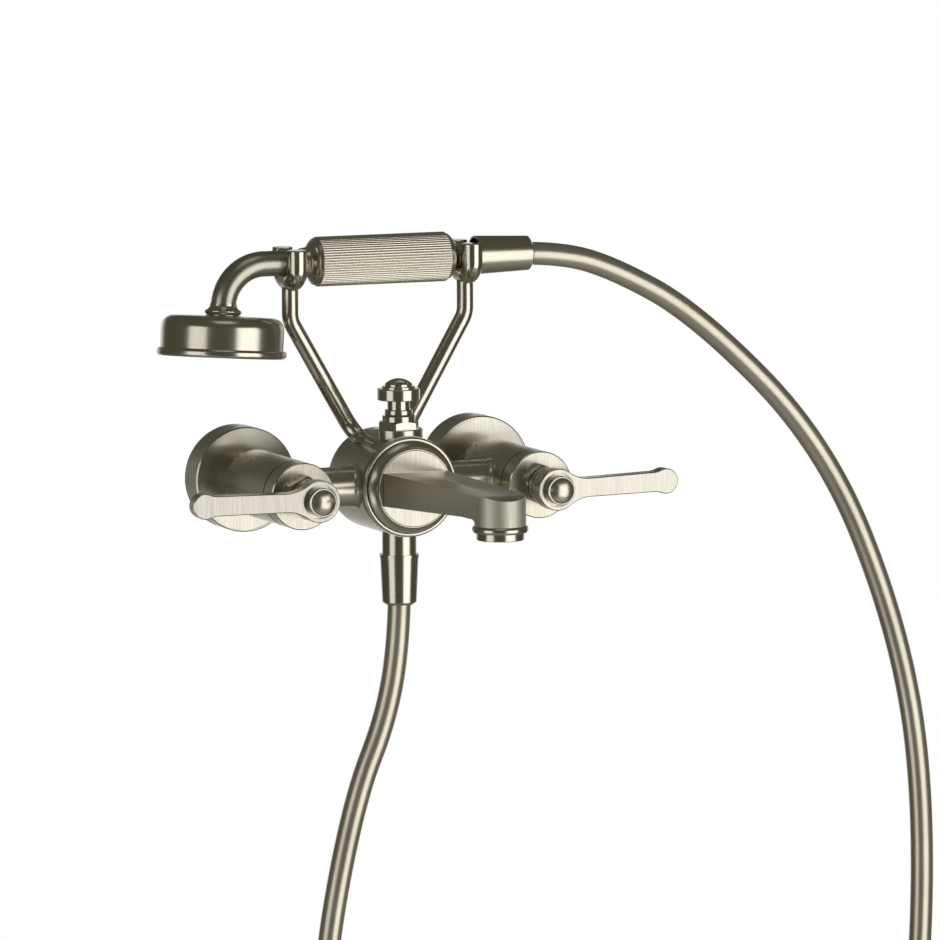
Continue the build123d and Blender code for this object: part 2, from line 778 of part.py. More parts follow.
def spout():
    """Bath spout: round face, tapering arm and down-turned outlet, all one hollow casting."""
    plan = spout_plan(0)
    shape = plan & spout_side(0)
    outlet_axis = upward(0, -spout_reach)
    shape += bar(outlet_axis, spout_outlet_radius, spout_outlet_bottom, 0)
    joint_height = spout_root_bottom + spout_bottom_rise - 0.4
    flare = turned(outlet_axis, [
        (aerator_bore, joint_height - spout_outlet_blend),
        (spout_outlet_radius, joint_height - spout_outlet_blend - 0.2),
        (spout_outlet_radius, joint_height, spout_outlet_blend),
        (spout_outlet_radius + spout_outlet_blend + 0.2, joint_height),
        (spout_outlet_radius + spout_outlet_blend + 0.2, joint_height + 1),
        (aerator_bore, joint_height + 1),
    ])
    shape += flare & plan
    shape += turned(centre_axis, [
        (0, ring_seat),
        (spout_flange_radius, ring_seat),
        (spout_flange_radius, ring_seat + spout_flange_thickness),
        (spout_face_radius, ring_seat + spout_flange_thickness),
        (spout_face_radius, spout_face_depth - 0.3),
        (spout_face_radius - 0.3, spout_face_depth),
        (0, spout_face_depth),
    ])
    shape -= spout_plan(spout_wall) & spout_side(spout_wall)
    shape -= bar(outlet_axis, aerator_bore, spout_outlet_bottom, 0)
    return one_solid(shape)


def retaining_ring():
    """Screwed ring round the spout's face: bead, groove, rim and a hollow cove."""
    bore = spout_face_radius + trim_clearance
    thread = ring_thread_radius - thread_clearance
    spigot_rear = ring_seat + spout_flange_thickness
    bead_start = centre_front + 0.8
    bead_end = bead_start + 2 * ring_bead_radius
    lip = spout_face_depth - 0.3
    cove_middle = ((ring_rim_radius + bore + 0.35) / 2 - 1.0, (ring_cove_start + lip) / 2 - 0.8, 9.0)
    return turned(centre_axis, [
        (bore, spigot_rear),
        (thread, spigot_rear),
        (thread, centre_front),
        (ring_radius, centre_front),
        (ring_radius, bead_start - 0.3),
        (ring_radius - ring_groove, bead_start - 0.3),
        (ring_radius - ring_groove, bead_start),
        (ring_radius, bead_start, ring_bead_radius),
        (ring_radius, bead_end, ring_bead_radius),
        (ring_rim_radius + 0.6, bead_end),
        (ring_rim_radius, bead_end - ring_groove),
        (ring_rim_radius, ring_cove_start),
        cove_middle,
        (bore + 0.35, lip),
        (bore, lip),
    ])


aerator_bead_bottom = spout_outlet_bottom - aerator_bead_height
aerator_bottom = aerator_bead_bottom - aerator_skirt_height
insert_radius = aerator_skirt_radius - 1.6
insert_bottom = aerator_bottom + 0.8
insert_top = insert_bottom + aerator_insert_height
outlet_axis = upward(0, -spout_reach)


def aerator_housing():
    """Screw-in housing of the aerator: bead, skirt and threaded spigot."""
    thread = aerator_bore - thread_clearance
    bore = insert_radius + trim_clearance
    return turned(outlet_axis, [
        (bore, aerator_bottom),
        (aerator_skirt_radius - 0.4, aerator_bottom),
        (aerator_skirt_radius, aerator_bottom + 0.4),
        (aerator_skirt_radius, aerator_bead_bottom),
        (aerator_bead_radius, aerator_bead_bottom, aerator_bead_height * 0.45),
        (aerator_bead_radius, spout_outlet_bottom, aerator_bead_height * 0.45),
        (thread, spout_outlet_bottom),
        (thread, spout_outlet_bottom + aerator_spigot),
        (thread - 1.6, spout_outlet_bottom + aerator_spigot),
        (thread - 1.6, insert_top + washer_thickness),
        (bore, insert_top + washer_thickness),
    ])


def aerator_insert():
    """Perforated insert that mixes air into the stream."""
    insert = bar(outlet_axis, insert_radius, insert_bottom, insert_top)
    for ring, count in ((3.2, 6), (6.4, 12), (9.6, 18)):
        for index in range(count):
            turn = 2 * pi * index / count
            hole = upward(ring * cos(turn), ring * sin(turn) - spout_reach)
            insert -= bar(hole, aerator_hole_radius, insert_bottom, insert_top)
    return one_solid(insert)


parts["spout"] = spout()
parts["retaining_ring"] = retaining_ring()
parts["aerator_housing"] = aerator_housing()
parts["aerator_insert"] = aerator_insert()
parts["aerator_washer"] = tube(
    outlet_axis, insert_radius, insert_radius - 2.6, insert_top, insert_top + washer_thickness
)


# ---------------------------------------------------------------- diverter
middle_axis = upward(0, waterway_y)
shank_bottom = chamber_radius - 3.0
gland_shank_bottom = diverter_base_top - 6.0
piston_bottom = outlet_seat + seal_thickness
piston_top = piston_bottom + piston_thickness


def diverter_base():
    """Round saddle that carries the diverter on top of the centre barrel."""
    base = bar(middle_axis, diverter_base_radius, 0, diverter_base_top)
    base -= bar(centre_axis, centre_radius, centre_rear, centre_front + 10)
    base -= bar(middle_axis, diverter_shank_radius + thread_clearance, 0, diverter_base_top)
    rim = base.edges().filter_by(GeomType.CIRCLE).filter_by(
        lambda edge: abs(edge.center().Z - diverter_base_top) < 0.001
        and edge.radius > diverter_shank_radius + 1
    )
    return one_solid(chamfer(rim, 0.5))


def diverter_bonnet():
    """Hexagonal bonnet screwed through the saddle into the body."""
    nut = chamfered_hexagon(middle_axis, diverter_hex_across_flats, diverter_base_top, diverter_hex_top,
                            diverter_hex_turn)
    nut += bar(middle_axis, diverter_shank_radius, shank_bottom, diverter_base_top)
    nut -= bar(middle_axis, gland_shank_radius + thread_clearance, gland_shank_bottom, diverter_hex_top)
    return one_solid(nut - bar(middle_axis, stem_radius + running_clearance, shank_bottom, diverter_hex_top))


def diverter_gland():
    """Stepped gland that guides the knob's neck."""
    bore = knob_neck_radius + running_clearance
    step = gland_step_top
    bead = gland_bead_radius
    return turned(middle_axis, [
        (bore, gland_shank_bottom),
        (gland_shank_radius, gland_shank_bottom),
        (gland_shank_radius, diverter_hex_top),
        (gland_step_radius, diverter_hex_top),
        (gland_step_radius, step, 0.5),
        (bead - 0.5, step),
        (bead, step + 0.8, 0.5),
        (bead, gland_top, 0.7),
        (bore, gland_top),
    ])


def diverter_knob():
    """Mushroom knob: neck, disc, step and dome."""
    neck_bottom = gland_shank_bottom + 1.5
    rise = knob_top - knob_dome_start
    dome_radius = (knob_dome_radius ** 2 + rise ** 2) / (2 * rise)
    ball = Pos(0, 0, knob_top - dome_radius) * Sphere(dome_radius)
    dome = ball & bar(Plane.XY, knob_dome_radius, knob_dome_start - 0.2, knob_top + 1)
    body = turned(middle_axis, [
        (0, knob_disc_bottom),
        (stem_radius, knob_disc_bottom),
        (stem_radius, neck_bottom),
        (knob_neck_radius, neck_bottom),
        (knob_neck_radius, knob_disc_bottom),
        (knob_disc_radius, knob_disc_bottom, 0.6),
        (knob_disc_radius, knob_disc_top, 0.6),
        (knob_step_radius, knob_disc_top + 0.1),
        (knob_step_radius, knob_step_top, 0.5),
        (knob_dome_radius, knob_step_top + 0.1),
        (knob_dome_radius, knob_dome_start),
        (0, knob_dome_start),
    ])
    return one_solid(body + middle_axis * dome)


def diverter_stem():
    """Stem with the piston that opens and shuts the hose outlet."""
    return turned(middle_axis, [
        (0, piston_bottom),
        (piston_radius, piston_bottom),
        (piston_radius, piston_top),
        (stem_radius, piston_top),
        (stem_radius, knob_disc_bottom),
        (0, knob_disc_bottom),
    ])


def diverter_spring():
    """Return spring between the bonnet and the piston."""
    bottom = piston_top + spring_wire_radius + 0.1
    top = shank_bottom - spring_wire_radius - 0.1
    path = Helix((top - bottom) / spring_turns, top - bottom, spring_coil_radius)
    section = Plane(origin=path @ 0, z_dir=path % 0) * Circle(spring_wire_radius)
    return one_solid(middle_axis * (Pos(0, 0, bottom) * sweep(section, path=path, is_frenet=True)))


parts["diverter_base"] = diverter_base()
parts["diverter_bonnet"] = diverter_bonnet()
parts["diverter_gland"] = diverter_gland()
parts["diverter_knob"] = diverter_knob()
parts["diverter_stem"] = diverter_stem()
parts["diverter_seal"] = tube(middle_axis, piston_radius, stem_radius, outlet_seat, piston_bottom)
parts["diverter_spring"] = diverter_spring()


# ---------------------------------------------------------------- hose outlet
lower_washer_bottom = outlet_bottom - washer_thickness
lower_ferrule_bottom = lower_washer_bottom - ferrule_thickness
hose_nut_bore = hose_radius + hose_nut_bore_clearance


def hose_outlet():
    """Threaded stub under the centre barrel; its top is the diverter's seat."""
    stub = bar(middle_axis, outlet_radius, outlet_bottom, outlet_seat)
    stub -= bar(centre_axis, centre_radius, centre_rear, centre_front)
    stub += bar(middle_axis, outlet_spigot_radius, -centre_radius - 0.5, outlet_seat)
    return one_solid(stub - bar(middle_axis, outlet_bore, outlet_bottom, outlet_seat))


def hose_nut(axis, wide_end, narrow_end, inner_end, lip_radius):
    """Tapered hose nut along an axis, from its wide threaded end to its narrow end."""
    way = 1 if narrow_end > wide_end else -1
    thread = outlet_radius + thread_clearance
    lip = way * hose_nut_lip_length
    return turned(axis, [
        (thread, wide_end),
        (lip_radius, wide_end),
        (lip_radius, wide_end + lip),
        (hose_nut_wide_radius, wide_end + lip),
        (hose_nut_narrow_radius, narrow_end - way * 1.6),
        (hose_nut_bore + 0.6, narrow_end),
        (hose_nut_bore, narrow_end),
        (hose_nut_bore, inner_end),
        (thread, inner_end),
    ])


parts["hose_outlet"] = hose_outlet()
parts["hose_washer_lower"] = tube(
    middle_axis, outlet_radius - 0.4, outlet_bore, lower_washer_bottom, outlet_bottom
)
parts["hose_ferrule_lower"] = tube(
    middle_axis, ferrule_radius, ferrule_bore, lower_ferrule_bottom, lower_washer_bottom
)
parts["hose_nut_lower"] = hose_nut(
    middle_axis, lower_nut_top, lower_nut_bottom, lower_ferrule_bottom, hose_nut_lip_radius
)


# ---------------------------------------------------------------- hose
def corner_radii(points):
    """The arc radius at each inner corner of a route, from its shorter run and its turn."""
    radii = []
    for before, corner, after in zip(points, points[1:], points[2:]):
        run_in = Vector(*corner) - Vector(*before)
        run_out = Vector(*after) - Vector(*corner)
        turn = radians(run_in.get_angle(run_out))
        radii.append(hose_corner_share * min(run_in.length, run_out.length) / tan(turn / 2))
    return radii


hose_radii = corner_radii(hose_route)
hose_path = FilletPolyline(*hose_route, radius=hose_radii)
hose_start = Plane(origin=hose_path @ 0, z_dir=hose_path % 0)
parts["hose"] = one_solid(sweep(hose_start * Circle(hose_radius), path=hose_path))
print("hose corner radii", [round(radius) for radius in hose_radii])
print("hose length", round(hose_path.length), "volume over section",
      round(parts["hose"].volume / (pi * hose_radius ** 2)))


# ---------------------------------------------------------------- cradle
cradle_y = -cradle_depth
yoke_slot_centre = handset_height - handset_tube_radius - handset_seat_gap + yoke_half_gap
yoke_low = handset_height - yoke_drop
yoke_bottom = yoke_low - yoke_bar_radius
yoke_top = handset_height + yoke_arm_rise


def yoke(sign):
    """U-shaped fork bent from round bar, with a round-bottomed slot for the hand shower's tube."""
    across = Plane(origin=(sign * cradle_half_spacing, cradle_y, 0), x_dir=(0, 1, 0), z_dir=(1, 0, 0))
    bend_height = yoke_low + yoke_bend
    straight = yoke_half_spacing - yoke_bend
    reach = straight + yoke_bend * sin(pi / 4)
    turn_height = bend_height - yoke_bend * sin(pi / 4)
    line = across * Wire([
        Line((-yoke_half_spacing, yoke_top), (-yoke_half_spacing, bend_height)),
        ThreePointArc((-yoke_half_spacing, bend_height), (-reach, turn_height), (-straight, yoke_low)),
        Line((-straight, yoke_low), (straight, yoke_low)),
        ThreePointArc((straight, yoke_low), (reach, turn_height), (yoke_half_spacing, bend_height)),
        Line((yoke_half_spacing, bend_height), (yoke_half_spacing, yoke_top)),
    ])
    start = Plane(origin=line @ 0, x_dir=(1, 0, 0), z_dir=line % 0)
    fork = sweep(start * Circle(yoke_bar_radius), path=line)
    ends = fork.edges().filter_by(lambda edge: edge.center().Z > yoke_top - 0.001)
    fork = fillet(ends, yoke_end_rounding)
    slot = make_face(Wire([
        Line((-yoke_half_gap, yoke_top + 1), (-yoke_half_gap, yoke_slot_centre)),
        ThreePointArc((-yoke_half_gap, yoke_slot_centre), (0, yoke_slot_centre - yoke_half_gap),
                      (yoke_half_gap, yoke_slot_centre)),
        Line((yoke_half_gap, yoke_slot_centre), (yoke_half_gap, yoke_top + 1)),
        Line((yoke_half_gap, yoke_top + 1), (-yoke_half_gap, yoke_top + 1)),
    ]))
    fork -= extrude(across * slot, yoke_bar_radius + 1, both=True)
    spigot_hole = bar(upward(sign * cradle_half_spacing, cradle_y), arm_spigot_radius,
                      yoke_bottom - 1, yoke_bottom + arm_spigot_length)
    return one_solid(fork - spigot_hole)


def cradle_arm(sign):
    """Round arm from the centre barrel up to a yoke, with a foot laid along the barrel."""
    lean = radians(arm_angle)
    foot_radius = centre_radius - arm_foot_sink
    end_radius = centre_radius - arm_radius - arm_foot_end_sink
    corner_z = cradle_half_spacing * tan(lean)
    path = FilletPolyline(
        (sign * cradle_half_spacing, cradle_y, yoke_bottom + 3),
        (sign * cradle_half_spacing, cradle_y, corner_z),
        (sign * foot_radius * cos(lean), cradle_y, foot_radius * sin(lean)),
        (sign * end_radius * cos(lean), -centre_front, end_radius * sin(lean)),
        radius=[arm_upper_bend, arm_foot_bend],
    )
    start = Plane(origin=path @ 0, z_dir=path % 0)
    arm = sweep(start * Circle(arm_radius), path=path)
    arm -= bar(centre_axis, centre_radius, centre_rear - 20, centre_front + 20)
    arm -= bar(centre_axis, 2 * centre_radius, centre_front, centre_front + 20)
    arm -= bar(middle_axis, diverter_base_radius, 0, diverter_base_top)
    arm -= bar(outward(sign * cradle_half_spacing, yoke_low), yoke_bar_radius, 0, 2 * cradle_depth)
    arm = max(arm.solids(), key=lambda solid: solid.volume)
    arm += bar(upward(sign * cradle_half_spacing, cradle_y), arm_spigot_radius,
               yoke_bottom - 3, yoke_bottom + arm_spigot_length)
    return one_solid(arm)


for side, sign in sides.items():
    parts[f"yoke_{side}"] = yoke(sign)
    parts[f"cradle_arm_{side}"] = cradle_arm(sign)


# ---------------------------------------------------------------- hand shower
handset_axis = rightward(cradle_y, handset_height)
yoke_left_inner = -cradle_half_spacing + yoke_bar_radius
yoke_right_inner = cradle_half_spacing - yoke_bar_radius
inlet_thread_start = upper_nut_left + 5.0
inlet_thread_end = inlet_thread_start + inlet_thread_length
upper_washer_end = inlet_thread_end + washer_thickness
upper_ferrule_end = upper_washer_end + ferrule_thickness


def fluted_grip():
    """Sleeve with fine rounded reeds all round."""
    pitch = 2 * pi / grip_flutes
    reeds = []
    for index in range(grip_flutes):
        start, middle, end = [
            Vector(radius * cos((index + share) * pitch), radius * sin((index + share) * pitch))
            for radius, share in ((grip_valley_radius, 0.0), (grip_radius, 0.5), (grip_valley_radius, 1.0))
        ]
        reeds.append(ThreePointArc(start, middle, end))
    sleeve = extrude(make_face(Wire(reeds)), grip_right - grip_left)
    shape = handset_axis * (Pos(0, 0, grip_left) * sleeve)
    return one_solid(shape - bar(handset_axis, grip_bore, grip_left, grip_right))


def grip_shoulder(grip_end, yoke_face):
    """Turned shoulder between the grip and a yoke: bead, step and a flared neck."""
    way = 1 if yoke_face > grip_end else -1
    end = yoke_face - way * free_gap
    bead = grip_end + way * 2.4
    step = grip_end + way * 3.6
    bore = handset_tube_radius
    return turned(handset_axis, [
        (bore, grip_end),
        (grip_radius - 0.2, grip_end, 0.3),
        (shoulder_bead_radius, bead, 1.0),
        (shoulder_bead_radius - 1.2, bead + way * 0.2),
        (shoulder_bead_radius - 1.5, step),
        (shoulder_neck_radius + 0.8, grip_end + way * 5.6, 3.0),
        (shoulder_neck_radius, end),
        (bore, end),
    ])


def handset_core():
    """Tube through the grip and the right yoke, ending in the hose thread."""
    return turned(handset_axis, [
        (handset_tube_bore, yoke_left_inner),
        (handset_tube_radius, yoke_left_inner),
        (handset_tube_radius, grip_left + 1),
        (grip_bore, grip_left + 1),
        (grip_bore, grip_right - 1),
        (handset_tube_radius, grip_right - 1),
        (handset_tube_radius, inlet_thread_start),
        (outlet_radius, inlet_thread_start),
        (outlet_radius, inlet_thread_end),
        (handset_tube_bore, inlet_thread_end),
    ])


tilt = radians(head_tilt)
head_origin = (elbow_corner - head_drop * sin(tilt), 0, -head_drop * cos(tilt))
head_axis = Plane(origin=head_origin, x_dir=(cos(tilt), 0, -sin(tilt)), z_dir=(sin(tilt), 0, cos(tilt)))
rolled = Pos(0, cradle_y, handset_height) * Rot(head_roll, 0, 0)
collar_bead_top = collar_bottom + collar_bead_height
bend_end = head_drop - elbow_bend * tan((pi / 2 - tilt) / 2)


def handset_elbow():
    """Bent tube from the left yoke down to the head's collar."""
    low = (elbow_corner - (head_drop - collar_bottom - 1) * sin(tilt), 0,
           -(head_drop - collar_bottom - 1) * cos(tilt))
    path = FilletPolyline((yoke_left_inner, 0, 0), (elbow_corner, 0, 0), low, radius=[elbow_bend])
    start = Plane(origin=path @ 0, z_dir=path % 0)
    outer = sweep(start * Circle(handset_tube_radius), path=path)
    return one_solid(rolled * (outer - sweep(start * Circle(handset_tube_bore), path=path)))


def head_collar():
    """Collar nut that joins the elbow to the head: neck, undercut bead and hollow flare."""
    bore = handset_tube_radius
    bent = max(collar_top - bend_end, 0)
    lip = bore + bent ** 2 / (1.5 * elbow_bend) + thread_clearance
    return rolled * turned(head_axis, [
        (bore, head_height - 4.0),
        (head_neck_radius, head_height - 4.0),
        (head_neck_radius, collar_bottom),
        (collar_bead_radius - 1.0, collar_bottom, 0.8),
        (collar_bead_radius, collar_bead_top - 0.7, 0.6),
        (collar_bead_radius, collar_bead_top, 0.4),
        (lip + 0.7, collar_bead_top + 1.6, 3.0),
        (lip + 0.25, collar_top),
        (lip, collar_top),
        (bore, min(bend_end, collar_top) - 0.3),
    ])


def head_shell():
    """Drum of the shower head: straight wall, round shoulder and slightly crowned top."""
    inner = head_radius - head_wall
    hole = head_neck_radius + thread_clearance
    bottom = head_rim_height - 0.8
    top = head_height
    return rolled * turned(head_axis, [
        (inner, bottom),
        (head_radius, bottom),
        (head_radius, top, head_shoulder),
        (hole, top + head_crown),
        (hole, top + head_crown - head_wall),
        (inner, top - head_wall, head_shoulder - head_wall),
    ])


def head_rim():
    """Rounded rim ring that clamps the spray plate to the drum."""
    inner = head_radius - head_wall - 1.5
    round_corner = head_rim_height * 0.42
    return rolled * turned(head_axis, [
        (inner, 0.8),
        (inner + 0.8, 0),
        (head_rim_radius, 0, round_corner),
        (head_rim_radius, head_rim_height, round_corner),
        (head_radius + trim_clearance, head_rim_height),
        (head_radius + trim_clearance, head_rim_height - 0.8),
        (head_radius - head_wall - 0.5, head_rim_height - 0.8),
        (head_radius - head_wall - 0.5, head_rim_lip),
        (inner, head_rim_lip),
    ])


def spray_plate():
    """Plate with rings of spray holes."""
    radius = head_radius - head_wall - 0.5 - trim_clearance
    top = head_rim_lip + spray_plate_thickness
    plate = bar(Plane.XY, radius, head_rim_lip, top)
    plate += bar(Plane.XY, head_radius - head_wall - 1.5 - trim_clearance, 0.6, head_rim_lip)
    holes = []
    for ring in range(1, spray_rings + 1):
        for index in range(6 * ring):
            turn = 2 * pi * index / (6 * ring)
            reach = ring * spray_hole_pitch * 0.95
            holes.append(bar(upward(reach * cos(turn), reach * sin(turn)), spray_hole_radius, 0, top))
    plate -= holes
    return one_solid(rolled * (head_axis * plate))


def head_seal():
    """Ring seal between the spray plate and the drum."""
    radius = head_radius - head_wall - 0.5 - trim_clearance
    low = head_rim_lip + spray_plate_thickness
    return rolled * tube(head_axis, radius, radius - 2.5, low, low + 1.6)


parts["grip_sleeve"] = fluted_grip()
parts["grip_shoulder_left"] = grip_shoulder(grip_left, yoke_left_inner)
parts["grip_shoulder_right"] = grip_shoulder(grip_right, yoke_right_inner)
parts["handset_core"] = handset_core()
parts["handset_elbow"] = handset_elbow()
parts["head_collar"] = head_collar()
parts["head_shell"] = head_shell()
parts["head_rim"] = head_rim()
parts["spray_plate"] = spray_plate()
parts["head_seal"] = head_seal()
parts["hose_washer_upper"] = tube(
    handset_axis, outlet_radius - 0.4, handset_tube_bore, inlet_thread_end, upper_washer_end
)
parts["hose_ferrule_upper"] = tube(
    handset_axis, ferrule_radius, ferrule_bore, upper_washer_end, upper_ferrule_end
)
parts["hose_nut_upper"] = hose_nut(
    handset_axis, upper_nut_left, upper_nut_right, upper_ferrule_end, hose_nut_wide_radius
)


# ---------------------------------------------------------------- export
os.makedirs("parts", exist_ok=True)
for name, shape in parts.items():
    export_step(shape, f"parts/{name}.step")
print(len(parts), "parts written")
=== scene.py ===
"""Looks of a wall mounted bath faucet in warm nickel, with a hand shower on a hanging hose.

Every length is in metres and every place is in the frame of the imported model: +Z is up,
the front faces -Y, and the origin lies on the wall between the two inlets.
"""
import logging
import math
from dataclasses import dataclass
from enum import Enum
from typing import Any, Optional, Sequence, Union

import bpy
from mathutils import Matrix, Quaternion, Vector


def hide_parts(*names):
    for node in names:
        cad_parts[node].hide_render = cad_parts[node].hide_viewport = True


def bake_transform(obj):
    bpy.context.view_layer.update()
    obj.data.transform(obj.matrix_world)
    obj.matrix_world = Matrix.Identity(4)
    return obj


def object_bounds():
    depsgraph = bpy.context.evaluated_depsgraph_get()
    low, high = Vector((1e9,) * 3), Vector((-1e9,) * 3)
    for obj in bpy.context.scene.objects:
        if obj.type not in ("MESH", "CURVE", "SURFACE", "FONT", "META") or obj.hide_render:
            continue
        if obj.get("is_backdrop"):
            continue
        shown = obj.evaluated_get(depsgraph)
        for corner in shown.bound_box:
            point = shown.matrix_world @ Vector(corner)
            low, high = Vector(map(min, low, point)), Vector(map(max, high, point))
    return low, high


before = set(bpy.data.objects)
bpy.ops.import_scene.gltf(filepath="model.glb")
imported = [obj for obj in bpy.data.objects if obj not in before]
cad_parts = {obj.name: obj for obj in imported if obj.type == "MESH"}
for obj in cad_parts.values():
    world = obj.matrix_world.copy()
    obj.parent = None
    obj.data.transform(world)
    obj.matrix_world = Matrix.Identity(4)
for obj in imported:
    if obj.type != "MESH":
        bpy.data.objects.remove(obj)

LOG = logging.getLogger("bath_faucet")
Colour = tuple[float, float, float]
Point = tuple[float, float, float]
Pair = tuple[float, float]
Value = Union["Socket", float]

WHITE: Colour = (1.0, 1.0, 1.0)
STRETCH = 0.03  # how fast a noise changes along a polishing line, next to across it


class Direction(Enum):
    """The way in which the fine polishing lines of a metal run.

    Each value holds the factors that draw a noise out into such lines, along X, Y and Z.
    """

    UPRIGHT = (1.0, 1.0, STRETCH)
    ALONG_WALL = (STRETCH, 1.0, 1.0)
    INTO_ROOM = (1.0, STRETCH, 1.0)


def darkened(colour: Colour, share: float) -> Colour:
    """Darkens a colour.

    Args:
        colour: The colour.
        share: How much of it is left.

    Returns:
        The darker colour.
    """
    red, green, blue = colour
    return (share * red, share * green, share * blue)


# ------------------------------------------------------------------ shader building
class Socket:
    """A shader value that can be written into Python expressions."""

    def __init__(self, graph: "Graph", output: bpy.types.NodeSocket) -> None:
        """Keeps the graph and the output that holds the value.

        Args:
            graph: The material's graph, to which an expression adds its nodes.
            output: The node output that gives the value.
        """
        self.graph = graph
        self.output = output

    def _maths(self, operation: str, *values: Value) -> "Socket":
        """Adds one Math node.

        Args:
            operation: The node's operation.
            values: Its inputs, as numbers or sockets.

        Returns:
            The node's result.
        """
        inputs = {index: value for index, value in enumerate(values)}
        return self.graph.node("ShaderNodeMath", {"operation": operation}, inputs)

    def __add__(self, other: Value) -> "Socket":
        """Returns this value plus another."""
        return self._maths("ADD", self, other)

    def __radd__(self, other: Value) -> "Socket":
        """Returns another value plus this one."""
        return self._maths("ADD", other, self)

    def __sub__(self, other: Value) -> "Socket":
        """Returns this value minus another."""
        return self._maths("SUBTRACT", self, other)

    def __rsub__(self, other: Value) -> "Socket":
        """Returns another value minus this one."""
        return self._maths("SUBTRACT", other, self)

    def __mul__(self, other: Value) -> "Socket":
        """Returns this value times another."""
        return self._maths("MULTIPLY", self, other)

    def __rmul__(self, other: Value) -> "Socket":
        """Returns another value times this one."""
        return self._maths("MULTIPLY", other, self)

    def centred(self) -> "Socket":
        """Returns a noise less its mean, so that it swings round 0."""
        return self - 0.5

    def clamped(self, low: float, high: float) -> "Socket":
        """Limits the value.

        Args:
            low: The least value let through.
            high: The greatest value let through.

        Returns:
            The limited value.
        """
        return self._maths("MINIMUM", self._maths("MAXIMUM", self, low), high)

    def stepped(self, low: float, high: float) -> "Socket":
        """Turns the value into a soft step.

        Args:
            low: Where the step leaves 0.
            high: Where the step reaches 1.

        Returns:
            A value from 0 to 1.
        """
        settings = {"interpolation_type": "SMOOTHSTEP"}
        inputs = {"Value": self, "From Min": low, "From Max": high}
        return self.graph.node("ShaderNodeMapRange", settings, inputs)


class Graph:
    """The nodes of one material or of the world."""

    def __init__(self, tree: bpy.types.NodeTree) -> None:
        """Empties the tree and keeps it.

        Args:
            tree: The node tree to fill.
        """
        self.tree = tree
        self.tree.nodes.clear()

    def node(
        self,
        kind: str,
        settings: Optional[dict[str, Any]] = None,
        inputs: Optional[dict[Union[str, int], Any]] = None,
        output: Union[str, int] = 0,
    ) -> Socket:
        """Adds a node of any type.

        Args:
            kind: The node's type.
            settings: Its settings, which are set first.
            inputs: The values or links of its sockets, by name or number.
            output: The output to return.

        Returns:
            The chosen output.
        """
        made = self.tree.nodes.new(kind)
        for name, value in (settings or {}).items():
            setattr(made, name, value)
        for name, value in (inputs or {}).items():
            socket = made.inputs[name]
            if isinstance(value, Socket):
                self.tree.links.new(value.output, socket)
            elif isinstance(value, tuple) and len(value) == 3 and socket.type == "RGBA":
                socket.default_value = (*value, 1.0)
            else:
                socket.default_value = value
        result = made.outputs[output] if len(made.outputs) else None
        return Socket(self, result)

    def place(self) -> Socket:
        """Returns the place on the object, in metres."""
        return self.node("ShaderNodeTexCoord", output="Object")

    def depth(self) -> Socket:
        """Returns how far the place stands in front of the wall, in metres."""
        return self.apart(self.place(), "Y") * -1.0

    def stretched(self, place: Socket, scale: Sequence[float]) -> Socket:
        """Scales a place along each axis.

        Args:
            place: The place to scale.
            scale: The factors along X, Y and Z.

        Returns:
            The scaled place.
        """
        inputs = {0: place, 1: tuple(scale)}
        return self.node("ShaderNodeVectorMath", {"operation": "MULTIPLY"}, inputs)

    def noise(
        self, place: Socket, scale: float, detail: float = 3.0, roughness: float = 0.55
    ) -> Socket:
        """Adds a noise texture.

        Args:
            place: Where the noise is read.
            scale: Its frequency, per metre.
            detail: Its number of octaves.
            roughness: How much the finer octaves count.

        Returns:
            A value round 0.5.
        """
        inputs = {"Vector": place, "Scale": scale, "Detail": detail, "Roughness": roughness}
        return self.node("ShaderNodeTexNoise", None, inputs)

    def mixed(self, factor: Value, first: Any, second: Any) -> Socket:
        """Mixes two colours.

        Args:
            factor: How much of the second colour shows.
            first: The first colour.
            second: The second colour.

        Returns:
            The mixed colour.
        """
        inputs = {0: factor, 6: first, 7: second}
        return self.node("ShaderNodeMix", {"data_type": "RGBA"}, inputs, output=2)

    def apart(self, vector: Socket, axis: str) -> Socket:
        """Takes one part of a vector.

        Args:
            vector: The vector.
            axis: The part's name, such as X.

        Returns:
            The part.
        """
        return self.node("ShaderNodeSeparateXYZ", None, {0: vector}, axis)

    def bump(self, height: Socket, strength: float, distance: float) -> Socket:
        """Turns a height into a surface direction.

        Args:
            height: The height, from 0 to 1.
            strength: How much of the bump shows.
            distance: The real height of a full step, in metres.

        Returns:
            The surface direction.
        """
        inputs = {"Height": height, "Strength": strength, "Distance": distance}
        return self.node("ShaderNodeBump", None, inputs)

    def surface(self, **values: Any) -> None:
        """Ends a material in a Principled shader.

        Args:
            values: Its sockets' values or links, with _ for each space in a name.
        """
        inputs = {name.replace("_", " "): value for name, value in values.items()}
        shader = self.node("ShaderNodeBsdfPrincipled", None, inputs)
        self.node("ShaderNodeOutputMaterial", None, {"Surface": shader})


def fresh_graph(name: str) -> tuple[bpy.types.Material, Graph]:
    """Makes an empty material.

    Args:
        name: The material's name.

    Returns:
        The material and its graph.
    """
    material = bpy.data.materials.new(name)
    material.use_nodes = True
    return material, Graph(material.node_tree)


